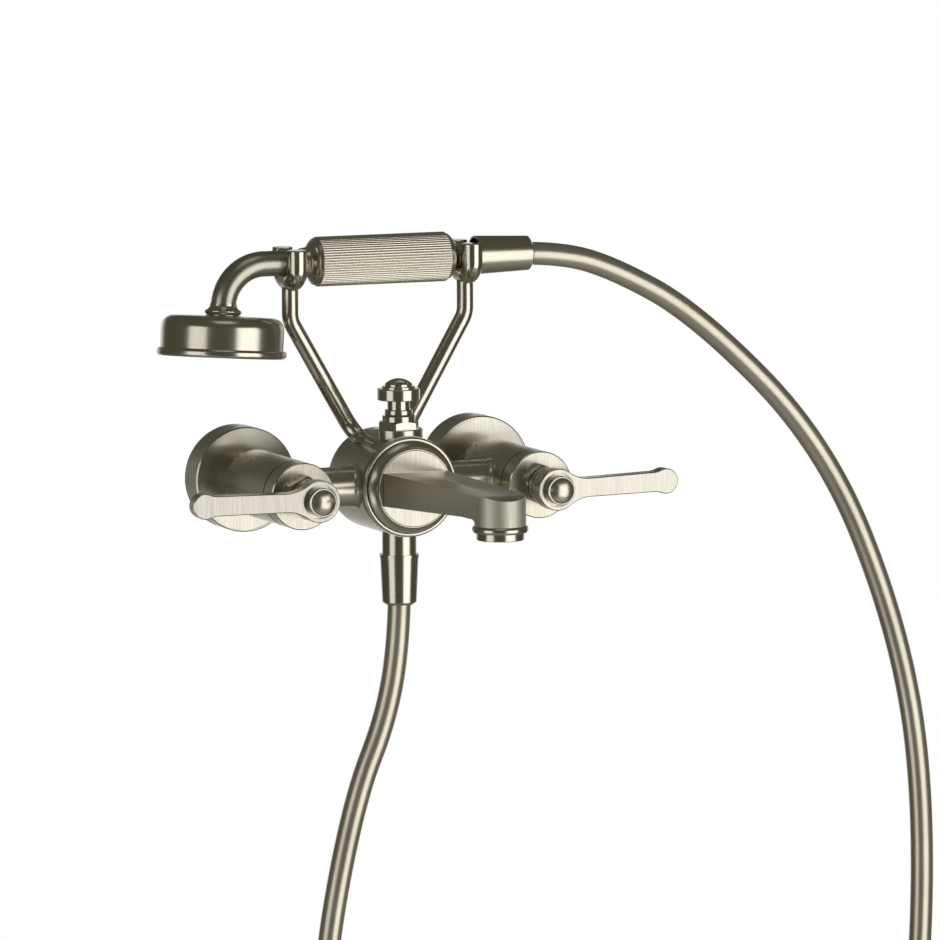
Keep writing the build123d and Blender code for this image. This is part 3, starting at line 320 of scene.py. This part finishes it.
# ------------------------------------------------------------------ finishes
@dataclass(frozen=True)
class Nickel:
    """Plated and polished metal with fine straight polishing lines.

    Attributes:
        name: The material's name.
        colour: The plate's colour.
        roughness: How soft its reflections are.
        lines: Which way its polishing lines run.
        line_pitch: How many lines lie side by side in a metre.
        line_depth: How deep the lines are, in metres.
        streaks: How much the colour changes from line to line.
        spread: How much the softness changes from line to line.
        cloud: How much the colour drifts over the surface.
        sideways: How much more the lines spread light across them than along them.
        bands_per_line: How many broad bands there are for each line.
        band_spread: How much the softness changes from band to band.
        mean_drift: How far the plate is on the way to its darker colour, on the whole.
        darkest: The darker colour's share of the plate's colour.
        relief: How much of the lines' depth shows.
    """

    name: str
    colour: Colour = (0.68, 0.645, 0.545)
    roughness: float = 0.24
    lines: Direction = Direction.UPRIGHT
    line_pitch: float = 1500.0
    line_depth: float = 0.000006
    streaks: float = 2.2
    spread: float = 0.10
    cloud: float = 0.5
    sideways: float = 0.0
    bands_per_line: float = 0.08
    band_spread: float = 0.05
    mean_drift: float = 0.35
    darkest: float = 0.82
    relief: float = 0.35

    def tone(self, graph: Graph, drift: Socket) -> Socket:
        """Gives the plate's colour at each place.

        Args:
            graph: The material's graph.
            drift: How far the place is on the way to the darker colour.

        Returns:
            The colour.
        """
        return graph.mixed(drift, self.colour, darkened(self.colour, self.darkest))

    def softened(self, graph: Graph) -> Value:
        """Gives the roughness that the lines and bands play round.

        Args:
            graph: The material's graph.

        Returns:
            One number, or a value that changes over the piece.
        """
        return self.roughness

    def build(self) -> bpy.types.Material:
        """Makes the material.

        Returns:
            The finished material.
        """
        material, graph = fresh_graph(self.name)
        along = graph.stretched(graph.place(), self.lines.value)
        lines = graph.noise(along, self.line_pitch, roughness=0.6)
        bands = graph.noise(along, self.bands_per_line * self.line_pitch, detail=2.0)
        drift = bands.centred() * self.cloud + lines.centred() * self.streaks + self.mean_drift
        play = lines.centred() * self.spread + bands.centred() * self.band_spread
        softness = play + self.softened(graph)
        graph.surface(
            Base_Color=self.tone(graph, drift.clamped(0.0, 1.0)),
            Metallic=1.0,
            Roughness=softness,
            Anisotropic=self.sideways,
            Normal=graph.bump(lines, self.relief, self.line_depth),
        )
        return material


@dataclass(frozen=True)
class SpoutNickel(Nickel):
    """Nickel of the spout: its round face is polished finer than its arm.

    Attributes:
        face_roughness: How soft the face's reflections are.
        face_depth: How far the face stands in front of the wall.
        change: How far in front of the face the arm's roughness is reached.
    """

    face_roughness: float = 0.22
    face_depth: float = 0.1040
    change: float = 0.002

    def softened(self, graph: Graph) -> Value:
        """Gives the face's roughness, and the arm's in front of it."""
        arm = graph.depth().stepped(self.face_depth, self.face_depth + self.change)
        return arm * (self.roughness - self.face_roughness) + self.face_roughness


@dataclass(frozen=True)
class SeamShadowNickel(Nickel):
    """Nickel of a cap with a painted shadow at its rear edge, where it meets the piece behind it.

    Attributes:
        seam_depth: How far the seam stands in front of the wall.
        seam_shadow_width: The width of the painted shadow's soft edge.
        seam_shadow_colour: The colour of that painted shadow.
    """

    seam_depth: float = 0.1019
    seam_shadow_width: float = 0.0006
    seam_shadow_colour: Colour = (0.03, 0.03, 0.025)

    def tone(self, graph: Graph, drift: Socket) -> Socket:
        """Gives the plate's colour, with a painted shadow at the seam."""
        # Painted shadow: the cap is dark behind the seam depth and fades to its plate colour over
        # the seam width.
        plain = graph.depth().stepped(self.seam_depth, self.seam_depth + self.seam_shadow_width)
        return graph.mixed(1.0 - plain, super().tone(graph, drift), self.seam_shadow_colour)


@dataclass(frozen=True)
class TurnedMetal:
    """Plain turned metal that hides inside the faucet.

    Attributes:
        name: The material's name.
        colour: The metal's colour.
        roughness: How soft its reflections are.
        ring_pitch: How many turning marks lie side by side in a metre.
        ring_depth: How deep the marks are, in metres.
        ring_spread: How much the softness changes from mark to mark.
        stain_pitch: How many stains lie side by side in a metre.
        stain_edges: The values of the stains' noise at which they begin and are full.
        darkest: A full stain's share of the metal's colour.
        relief: How much of the marks' depth shows.
    """

    name: str
    colour: Colour
    roughness: float = 0.34
    ring_pitch: float = 2600.0
    ring_depth: float = 0.00002
    ring_spread: float = 0.2
    stain_pitch: float = 90.0
    stain_edges: Pair = (0.45, 0.75)
    darkest: float = 0.7
    relief: float = 0.4

    def build(self) -> bpy.types.Material:
        """Makes the material.

        Returns:
            The finished material.
        """
        material, graph = fresh_graph(self.name)
        place = graph.place()
        round_it = graph.stretched(place, Direction.INTO_ROOM.value)
        rings = graph.noise(round_it, self.ring_pitch, detail=2.0)
        stains = graph.noise(place, self.stain_pitch, detail=4.0).stepped(*self.stain_edges)
        softness = rings.centred() * self.ring_spread + self.roughness
        graph.surface(
            Base_Color=graph.mixed(stains, self.colour, darkened(self.colour, self.darkest)),
            Metallic=1.0,
            Roughness=softness,
            Normal=graph.bump(rings, self.relief, self.ring_depth),
        )
        return material


@dataclass(frozen=True)
class Moulded:
    """Moulded rubber, plastic or ground ceramic.

    Attributes:
        name: The material's name.
        colour: The piece's colour.
        roughness: How soft its reflections are.
        grain_pitch: How many grains lie side by side in a metre.
        grain_height: How high the grain stands, in metres.
        grain_spread: How much the softness changes from grain to grain.
        patch_pitch: How many patches lie side by side in a metre.
        patch_edges: The values of the patches' noise at which they begin and are full.
        darkest: A full patch's share of the piece's colour.
        relief: How much of the grain's height shows.
    """

    name: str
    colour: Colour
    roughness: float = 0.5
    grain_pitch: float = 1800.0
    grain_height: float = 0.00002
    grain_spread: float = 0.16
    patch_pitch: float = 60.0
    patch_edges: Pair = (0.35, 0.7)
    darkest: float = 0.8
    relief: float = 0.4

    def build(self) -> bpy.types.Material:
        """Makes the material.

        Returns:
            The finished material.
        """
        material, graph = fresh_graph(self.name)
        place = graph.place()
        grain = graph.noise(place, self.grain_pitch)
        patches = graph.noise(place, self.patch_pitch, detail=2.0).stepped(*self.patch_edges)
        softness = grain.centred() * self.grain_spread + self.roughness
        graph.surface(
            Base_Color=graph.mixed(patches, self.colour, darkened(self.colour, self.darkest)),
            Metallic=0.0,
            Roughness=softness,
            Normal=graph.bump(grain, self.relief, self.grain_height),
        )
        return material


@dataclass(frozen=True)
class HoseSkin:
    """Smooth metal-coloured hose cover with a satin sheen and faint scuffs.

    Attributes:
        name: The material's name.
        colour: The cover's colour.
        roughness: How soft its reflections are.
        metal: How much of it reflects as metal does.
        scuff_pitch: How many scuffs lie side by side in a metre.
        scuff_depth: How deep they are, in metres.
        scuff_spread: How much the softness changes from scuff to scuff.
        cloud_pitch: How many clouds of colour lie side by side in a metre.
        cloud_edges: The values of the clouds' noise at which they begin and are full.
        darkest: A full cloud's share of the cover's colour.
        relief: How much of the scuffs' depth shows.
    """

    name: str
    colour: Colour = (0.68, 0.635, 0.52)
    roughness: float = 0.30
    metal: float = 0.84
    scuff_pitch: float = 420.0
    scuff_depth: float = 0.000001
    scuff_spread: float = 0.05
    cloud_pitch: float = 22.0
    cloud_edges: Pair = (0.3, 0.8)
    darkest: float = 0.88
    relief: float = 0.25

    def build(self) -> bpy.types.Material:
        """Makes the material.

        Returns:
            The finished material.
        """
        material, graph = fresh_graph(self.name)
        place = graph.place()
        scuffs = graph.noise(place, self.scuff_pitch, detail=4.0)
        clouds = graph.noise(place, self.cloud_pitch, detail=2.0).stepped(*self.cloud_edges)
        softness = scuffs.centred() * self.scuff_spread + self.roughness
        graph.surface(
            Base_Color=graph.mixed(clouds, self.colour, darkened(self.colour, self.darkest)),
            Metallic=self.metal,
            Roughness=softness,
            Normal=graph.bump(scuffs, self.relief, self.scuff_depth),
        )
        return material


Finish = Union[Nickel, TurnedMetal, Moulded, HoseSkin]


class FinishBook:
    """Makes each finish once and hands it out."""

    def __init__(self) -> None:
        """Starts with no materials."""
        self.made: dict[str, bpy.types.Material] = {}

    def __getitem__(self, finish: Finish) -> bpy.types.Material:
        """Hands out a finish, which is made on its first use.

        Args:
            finish: The finish.

        Returns:
            Its material.
        """
        if finish.name not in self.made:
            self.made[finish.name] = finish.build()
        return self.made[finish.name]


POLISHED: Colour = (0.70, 0.665, 0.57)
SATIN = Nickel("satin_nickel", roughness=0.27)
SATIN_HEAD = Nickel("satin_nickel_head", roughness=0.21, streaks=1.4, spread=0.05)
SATIN_FLANGE = Nickel(
    "satin_nickel_flange", (0.71, 0.68, 0.59), roughness=0.25, streaks=3.0, sideways=0.8
)
# The valve caps carry a painted shadow on their rear edge, at the seam with the barrel.
SATIN_CAP = SeamShadowNickel("satin_nickel_cap", roughness=0.26, sideways=0.7)
# Painted shade: the satin nickel's colour, a little darkened on the levers to dim their bright
# reflections.
SATIN_LEVER_PAINTED_SHADE = Nickel("satin_nickel_lever", (0.64, 0.61, 0.535), roughness=0.26, sideways=0.7)
SATIN_SPOUT = SpoutNickel(
    "satin_nickel_spout", roughness=0.40, sideways=0.7, face_roughness=0.26
)
SATIN_RING = Nickel(
    "satin_nickel_ring", POLISHED, roughness=0.25, line_depth=0.000001, streaks=0.3, spread=0.03
)
SATIN_LEVEL = Nickel(
    "satin_nickel_level", roughness=0.25, lines=Direction.ALONG_WALL, streaks=0.6
)
# Painted shade: the satin nickel's colour darkened to 0.82 on the elbow, which dims its
# reflections.
SATIN_ELBOW_PAINTED_SHADE = Nickel("satin_nickel_elbow", (0.56, 0.53, 0.445), roughness=0.31, streaks=0.4)
SATIN_BARREL = Nickel(
    "satin_nickel_barrel", roughness=0.26, lines=Direction.INTO_ROOM, streaks=0.6
)
BRIGHT = Nickel(
    "bright_nickel",
    POLISHED,
    roughness=0.15,
    line_depth=0.0000005,
    streaks=0.2,
    spread=0.03,
    cloud=0.2,
)
SOFT_BRIGHT = Nickel(
    "soft_bright_nickel", POLISHED, roughness=0.19, line_depth=0.000001, streaks=0.4, spread=0.04
)
# Painted light: a lightened copy of the nickel, which brightens the grip's reflections.
GRIP_PAINTED_LIGHT = Nickel(
    "grip_nickel",
    (0.83, 0.775, 0.675),
    roughness=0.24,
    lines=Direction.ALONG_WALL,
    line_depth=0.000003,
    streaks=0.4,
)
BRASS = TurnedMetal("turned_brass", (0.70, 0.54, 0.30))
STEEL = TurnedMetal("spring_steel", (0.55, 0.55, 0.54), roughness=0.28)
RUBBER = Moulded("seal_rubber", (0.035, 0.035, 0.035), roughness=0.6)
CERAMIC = Moulded("ground_ceramic", (0.82, 0.80, 0.76), roughness=0.25)
GREY_PLASTIC = Moulded("grey_plastic", (0.34, 0.34, 0.33), roughness=0.45)
HOSE_SKIN = HoseSkin("hose_cover")


# ------------------------------------------------------------------ sub-assemblies
@dataclass
class SubAssembly:
    """A group of CAD nodes that are dressed together.

    Attributes:
        title: What the group is called in the log.
        dressing: The finish of each of its nodes.
    """

    title: str
    dressing: dict[str, Finish]

    def build(self, book: FinishBook) -> None:
        """Dresses the group's nodes.

        Args:
            book: Where the materials come from.
        """
        for node, finish in self.dressing.items():
            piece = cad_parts[node]
            piece.data.materials.clear()
            piece.data.materials.append(book[finish])
            LOG.info("%s: %s in %s", self.title, node, finish.name)


@dataclass
class HoseAssembly(SubAssembly):
    """The hose: a smooth tube along one hanging line.

    Attributes:
        route: The points that guide its line, from the outlet to the hand shower.
        radius: The tube's radius.
        order: The order of the curve through them.
        steps: The number of line pieces between two guiding points.
        corners: The number of corners round the tube.
        length: The hose's real length; not used.
    """

    route: Sequence[Point] = (
        (0.0, -0.0775, -0.057),
        (0.0, -0.0775, -0.088),
        (-0.008, -0.0775, -0.137),
        (-0.029, -0.0773, -0.186),
        (-0.048, -0.077, -0.277),
        (-0.048, -0.0768, -0.330),
        (-0.030, -0.0763, -0.421),
        (0.013, -0.0755, -0.488),
        (0.086, -0.074, -0.535),
        (0.172, -0.072, -0.542),
        (0.252, -0.070, -0.507),
        (0.312, -0.0675, -0.436),
        (0.341, -0.065, -0.347),
        (0.347, -0.061, -0.204),
        (0.330, -0.057, -0.101),
        (0.285, -0.053, 0.008),
        (0.204, -0.048, 0.090),
        (0.146, -0.0455, 0.122),
        (0.110, -0.0444, 0.1306),
        (0.082, -0.0444, 0.1306),
    )
    radius: float = 0.0069
    order: int = 3
    steps: int = 12
    corners: int = 32
    length: float = 1.5

    def line(self) -> list[Vector]:
        """Draws the hose's smooth centre line along its route.

        Returns:
            The line's points.
        """
        curve = bpy.data.curves.new("hose_line", "CURVE")
        curve.dimensions = "3D"
        curve.resolution_u = self.steps
        spline = curve.splines.new("NURBS")
        spline.points.add(len(self.route) - 1)
        for point, place in zip(spline.points, self.route):
            point.co = (*place, 1.0)
        spline.order_u = self.order
        spline.use_endpoint_u = True
        holder = bpy.data.objects.new("hose_line", curve)
        bpy.context.scene.collection.objects.link(holder)
        mesh = bpy.data.meshes.new_from_object(holder)
        points = [vertex.co.copy() for vertex in mesh.vertices]
        bpy.data.objects.remove(holder)
        bpy.data.curves.remove(curve)
        bpy.data.meshes.remove(mesh)
        return points

    def tube(self, line: list[Vector]) -> bpy.types.Object:
        """Draws the tube round its line without twisting it.

        Args:
            line: The centre line's points.

        Returns:
            The tube.
        """
        vertices: list[Vector] = []
        faces: list[tuple[int, ...]] = []
        side = Vector((1.0, 0.0, 0.0))
        for index, place in enumerate(line):
            ahead = line[min(index + 1, len(line) - 1)] - line[max(index - 1, 0)]
            ahead.normalize()
            side = (side - ahead * side.dot(ahead)).normalized()
            across = ahead.cross(side)
            for corner in range(self.corners):
                turn = 2.0 * math.pi * corner / self.corners
                outwards = side * math.cos(turn) + across * math.sin(turn)
                vertices.append(place + outwards * self.radius)
        for ring in range(len(line) - 1):
            for corner in range(self.corners):
                here = ring * self.corners + corner
                beside = ring * self.corners + (corner + 1) % self.corners
                faces.append((here, beside, beside + self.corners, here + self.corners))
        last = (len(line) - 1) * self.corners
        faces.append(tuple(reversed(range(self.corners))))
        faces.append(tuple(range(last, last + self.corners)))
        mesh = bpy.data.meshes.new("hose_tube")
        mesh.from_pydata(vertices, [], faces)
        mesh.shade_smooth()
        tube = bpy.data.objects.new("hose_tube", mesh)
        bpy.context.scene.collection.objects.link(tube)
        return tube

    def build(self, book: FinishBook) -> None:
        """Args:
            book: Where the materials come from.
        """
        super().build(book)
        line = self.line()
        tube = self.tube(line)
        tube.data.materials.append(book[HOSE_SKIN])
        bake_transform(tube)
        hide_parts("hose")
        self.route[0]
        LOG.info("%s: tube with %d line points", self.title, len(line))


def both(stem: str, finish: Finish) -> dict[str, Finish]:
    """Dresses a left and a right node alike.

    Args:
        stem: The nodes' name without its side.
        finish: Their finish.

    Returns:
        The finish of each node.
    """
    return {f"{stem}_left": finish, f"{stem}_right": finish}


WALL_CONNECTIONS = SubAssembly(
    "wall connections",
    {
        **both("wall_flange", SATIN_FLANGE),
        "wall_unions": BRASS,
        "non_return_valves": GREY_PLASTIC,
        "inlet_nuts": SATIN,
        "inlet_nipples": BRASS,
        "inlet_washers": RUBBER,
    },
)
BODY = SubAssembly("body", {"body_casting": SATIN_BARREL})
VALVES = SubAssembly(
    "valves",
    {
        **both("valve_cap", SATIN_CAP),
        **both("moving_disc", CERAMIC),
        **both("spindle", BRASS),
        "cartridges": BRASS,
        "cartridge_seals": RUBBER,
        "fixed_discs": CERAMIC,
        "spindle_seals": RUBBER,
        "bonnet_nuts": BRIGHT,
    },
)
LEVERS = SubAssembly(
    "levers",
    {**both("lever", SATIN_LEVER_PAINTED_SHADE), **both("lever_cap", SATIN_RING), **both("lever_screw", STEEL)},
)
SPOUT = SubAssembly(
    "spout",
    {
        "spout": SATIN_SPOUT,
        "retaining_ring": SATIN_RING,
        "aerator_housing": SOFT_BRIGHT,
        "aerator_insert": GREY_PLASTIC,
        "aerator_washer": RUBBER,
    },
)
DIVERTER = SubAssembly(
    "diverter",
    {
        "diverter_base": SOFT_BRIGHT,
        "diverter_bonnet": BRIGHT,
        "diverter_gland": BRIGHT,
        "diverter_knob": BRIGHT,
        "diverter_stem": BRASS,
        "diverter_seal": RUBBER,
        "diverter_spring": STEEL,
    },
)
HOSE = HoseAssembly(
    "hose",
    {
        "hose_outlet": SOFT_BRIGHT,
        "hose_washer_lower": RUBBER,
        "hose_ferrule_lower": BRASS,
        "hose_nut_lower": SOFT_BRIGHT,
        "hose_nut_upper": SATIN_LEVEL,
        "hose_washer_upper": RUBBER,
        "hose_ferrule_upper": BRASS,
    },
)
CRADLE = SubAssembly("cradle", {**both("cradle_arm", SOFT_BRIGHT), **both("yoke", BRIGHT)})
HAND_SHOWER = SubAssembly(
    "hand shower",
    {
        "grip_sleeve": GRIP_PAINTED_LIGHT,
        **both("grip_shoulder", SOFT_BRIGHT),
        "handset_core": SATIN_LEVEL,
        "handset_elbow": SATIN_ELBOW_PAINTED_SHADE,
        "head_collar": SOFT_BRIGHT,
        "head_shell": SATIN_HEAD,
        "head_rim": SOFT_BRIGHT,
        "spray_plate": GREY_PLASTIC,
        "head_seal": RUBBER,
    },
)


# ------------------------------------------------------------------ studio
@dataclass
class SoftBox:
    """A large flat lamp that faces the faucet.

    Attributes:
        name: The lamp's name.
        azimuth: Its direction from the faucet, in degrees round from the front.
        elevation: Its direction above the horizon, in degrees.
        distance: How far off it stands.
        width: Its width.
        height: Its height.
        power: Its power, in watts.
    """

    name: str
    azimuth: float
    elevation: float
    distance: float
    width: float
    height: float
    power: float

    def build(self, target: Vector) -> None:
        """Hangs the lamp.

        Args:
            target: The point that it faces.
        """
        lamp = bpy.data.lights.new(self.name, "AREA")
        lamp.shape = "RECTANGLE"
        lamp.size = self.width
        lamp.size_y = self.height
        lamp.energy = self.power
        holder = bpy.data.objects.new(self.name, lamp)
        away = outward(self.azimuth, self.elevation)
        holder.location = target + away * self.distance
        holder.rotation_mode = "QUATERNION"
        holder.rotation_quaternion = away.to_track_quat("Z", "Y")
        bpy.context.scene.collection.objects.link(holder)
        LOG.info("lamp %s", self.name)


def outward(azimuth: float, elevation: float) -> Vector:
    """Gives a direction away from the faucet.

    Args:
        azimuth: Degrees round from the front, towards +X.
        elevation: Degrees above the horizon.

    Returns:
        A vector of length one.
    """
    turn, rise = math.radians(azimuth), math.radians(elevation)
    level = math.cos(rise)
    return Vector((math.sin(turn) * level, -math.cos(turn) * level, math.sin(rise)))


@dataclass
class Studio:
    """A white set with a pale floor, tall soft lamps and one camera.

    Attributes:
        aim: The point that the camera looks at.
        azimuth: The camera's direction, in degrees round from the front.
        elevation: The camera's height above the horizon, in degrees.
        distance: How far off the camera stands.
        span: The width of the view at the aim.
        roll: The camera's lean to the side, in degrees.
        sensor: The width of the camera's sensor, in millimetres.
        reach: The nearest and the farthest thing that the camera sees.
        floor_size: The floor's side.
        floor_drop: How far the floor lies under the lowest point of the hose.
        floor_tone: The colour of the floor, which shadows darken.
        floor_glow: How white the floor is near the faucet, from 0 to 1.
        floor_fade: How far off the floor begins to turn white, and where it is all white.
        sheet: How bright the white sheet behind the faucet is.
        sheet_sides: How squarely a direction points at the sheet on its edge and inside it,
            as a cosine.
        sheet_top: The rise at which the sheet begins to fade in the metal, and where it ends.
        room: The colour and brightness of the rest of the room in the metal.
        lit: The point that the lamps face.
        lamps: The soft lamps.
    """

    aim: Point = (0.05217, -0.060, 0.00402)
    azimuth: float = -21.62
    elevation: float = 6.562
    distance: float = 6.8
    span: float = 0.55861606
    roll: float = -0.25
    sensor: float = 36.0
    reach: Pair = (0.1, 100.0)
    floor_size: float = 30.0
    floor_drop: float = 1.05
    floor_tone: Colour = (0.8, 0.8, 0.79)
    floor_glow: float = 0.8
    floor_fade: Pair = (2.0, 6.0)
    sheet: float = 1.0
    sheet_sides: Pair = (0.68, 0.98)
    sheet_top: Pair = (0.0, 0.27)
    room: Colour = (0.090, 0.087, 0.066)
    lit: Point = (0.0, -0.08, 0.0)
    lamps: Sequence[SoftBox] = (
        SoftBox(
            "right_box",
            azimuth=28.0, elevation=-5.0, distance=2.4,
            width=2.05, height=2.5, power=25.0,
        ),
        SoftBox(
            "left_box",
            azimuth=-69.0, elevation=-5.0, distance=2.4,
            width=1.50, height=2.5, power=11.6,
        ),
        SoftBox(
            "top_box",
            azimuth=-10.0, elevation=72.0, distance=2.6,
            width=1.2, height=1.2, power=2.0,
        ),
    )

    def camera(self) -> None:
        """Sets up the camera."""
        lens = bpy.data.cameras.new("camera")
        lens.sensor_width = self.sensor
        lens.lens = self.sensor * self.distance / self.span
        lens.clip_start, lens.clip_end = self.reach
        holder = bpy.data.objects.new("camera", lens)
        away = outward(self.azimuth, self.elevation)
        holder.location = Vector(self.aim) + away * self.distance
        holder.rotation_mode = "QUATERNION"
        lean = Quaternion((0.0, 0.0, 1.0), math.radians(self.roll))
        holder.rotation_quaternion = away.to_track_quat("Z", "Y") @ lean
        bpy.context.scene.collection.objects.link(holder)
        bpy.context.scene.camera = holder

    def rays(self, graph: Graph, *kinds: str) -> Socket:
        """Marks some kinds of light ray.

        Args:
            graph: The graph to draw in.
            kinds: The kinds, such as Camera.

        Returns:
            1 for these rays and 0 for all others.
        """
        marks = [graph.node("ShaderNodeLightPath", output=f"Is {kind} Ray") for kind in kinds]
        return sum(marks[1:], marks[0]).clamped(0.0, 1.0)

    def backdrop(self, graph: Graph, way: Socket) -> Socket:
        """Marks the directions in which the white sheet hangs behind the faucet.

        Args:
            graph: The graph to draw in.
            way: The direction from the faucet.

        Returns:
            1 on the sheet and 0 beside and above it, with soft edges.
        """
        behind = tuple(-outward(self.azimuth, 0.0))
        settings = {"operation": "DOT_PRODUCT"}
        facing = graph.node("ShaderNodeVectorMath", settings, {0: way, 1: behind}, "Value")
        above = graph.apart(way, "Z").stepped(*self.sheet_top)
        return facing.stepped(*self.sheet_sides) * (1.0 - above)

    def floor(self, height: float) -> None:
        """Lays the floor: pale near the faucet, and fading into the white sheet far off.

        Args:
            height: The floor's height.
        """
        half = self.floor_size / 2.0
        ends = ((-half, -half), (half, -half), (half, half), (-half, half))
        mesh = bpy.data.meshes.new("floor")
        mesh.from_pydata([(*end, height) for end in ends], [], [(0, 1, 2, 3)])
        floor = bpy.data.objects.new("floor", mesh)
        bpy.context.scene.collection.objects.link(floor)
        material, graph = fresh_graph("pale_floor")
        place = graph.place()
        way = graph.node("ShaderNodeVectorMath", {"operation": "NORMALIZE"}, {0: place}, "Vector")
        away = graph.node("ShaderNodeVectorMath", {"operation": "LENGTH"}, {0: place}, "Value")
        far = away.stepped(*self.floor_fade)
        glow = far * (1.0 - self.floor_glow) + self.floor_glow
        eye = self.rays(graph, "Camera") * glow
        mirrored = self.rays(graph, "Glossy", "Transmission") * far * self.backdrop(graph, way)
        white = graph.node("ShaderNodeEmission", None, {"Color": WHITE, "Strength": 1.0})
        pale = graph.node("ShaderNodeBsdfDiffuse", None, {"Color": self.floor_tone})
        shader = graph.node("ShaderNodeMixShader", None, {0: eye + mirrored, 1: pale, 2: white})
        graph.node("ShaderNodeOutputMaterial", None, {"Surface": shader})
        mesh.materials.append(material)
        floor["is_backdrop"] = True

    def world(self) -> None:
        """Paints the room: a white sheet behind the faucet and a dim room in front of it."""
        world = bpy.data.worlds.new("studio")
        world.use_nodes = True
        bpy.context.scene.world = world
        graph = Graph(world.node_tree)
        way = graph.node("ShaderNodeTexCoord", output="Generated")
        mirrored = self.rays(graph, "Glossy", "Transmission") * self.backdrop(graph, way)
        white = self.rays(graph, "Camera") + mirrored
        sheet = graph.node("ShaderNodeBackground", None, {"Color": WHITE, "Strength": self.sheet})
        dim = graph.node("ShaderNodeBackground", None, {"Color": self.room, "Strength": 1.0})
        shader = graph.node("ShaderNodeMixShader", None, {0: white, 1: dim, 2: sheet})
        graph.node("ShaderNodeOutputWorld", None, {"Surface": shader})

    def build(self, lowest: float) -> None:
        """Builds the whole studio.

        Args:
            lowest: The height of the faucet's lowest point.
        """
        bpy.context.scene.view_settings.view_transform = "Standard"
        self.camera()
        self.floor(lowest - self.floor_drop)
        self.world()
        for lamp in self.lamps:
            lamp.build(Vector(self.lit))


def main() -> None:
    """Dresses every sub-assembly and builds the studio under the faucet's lowest point."""
    logging.basicConfig(level=logging.INFO, format="%(message)s")
    cad_box = [list(corner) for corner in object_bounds()]
    book = FinishBook()
    assemblies = (
        WALL_CONNECTIONS, BODY, VALVES, LEVERS, SPOUT, DIVERTER, HOSE, CRADLE, HAND_SHOWER
    )
    for assembly in assemblies:
        assembly.build(book)
    Studio().build(cad_box[0][2])


if __name__ == "__main__":
    main()
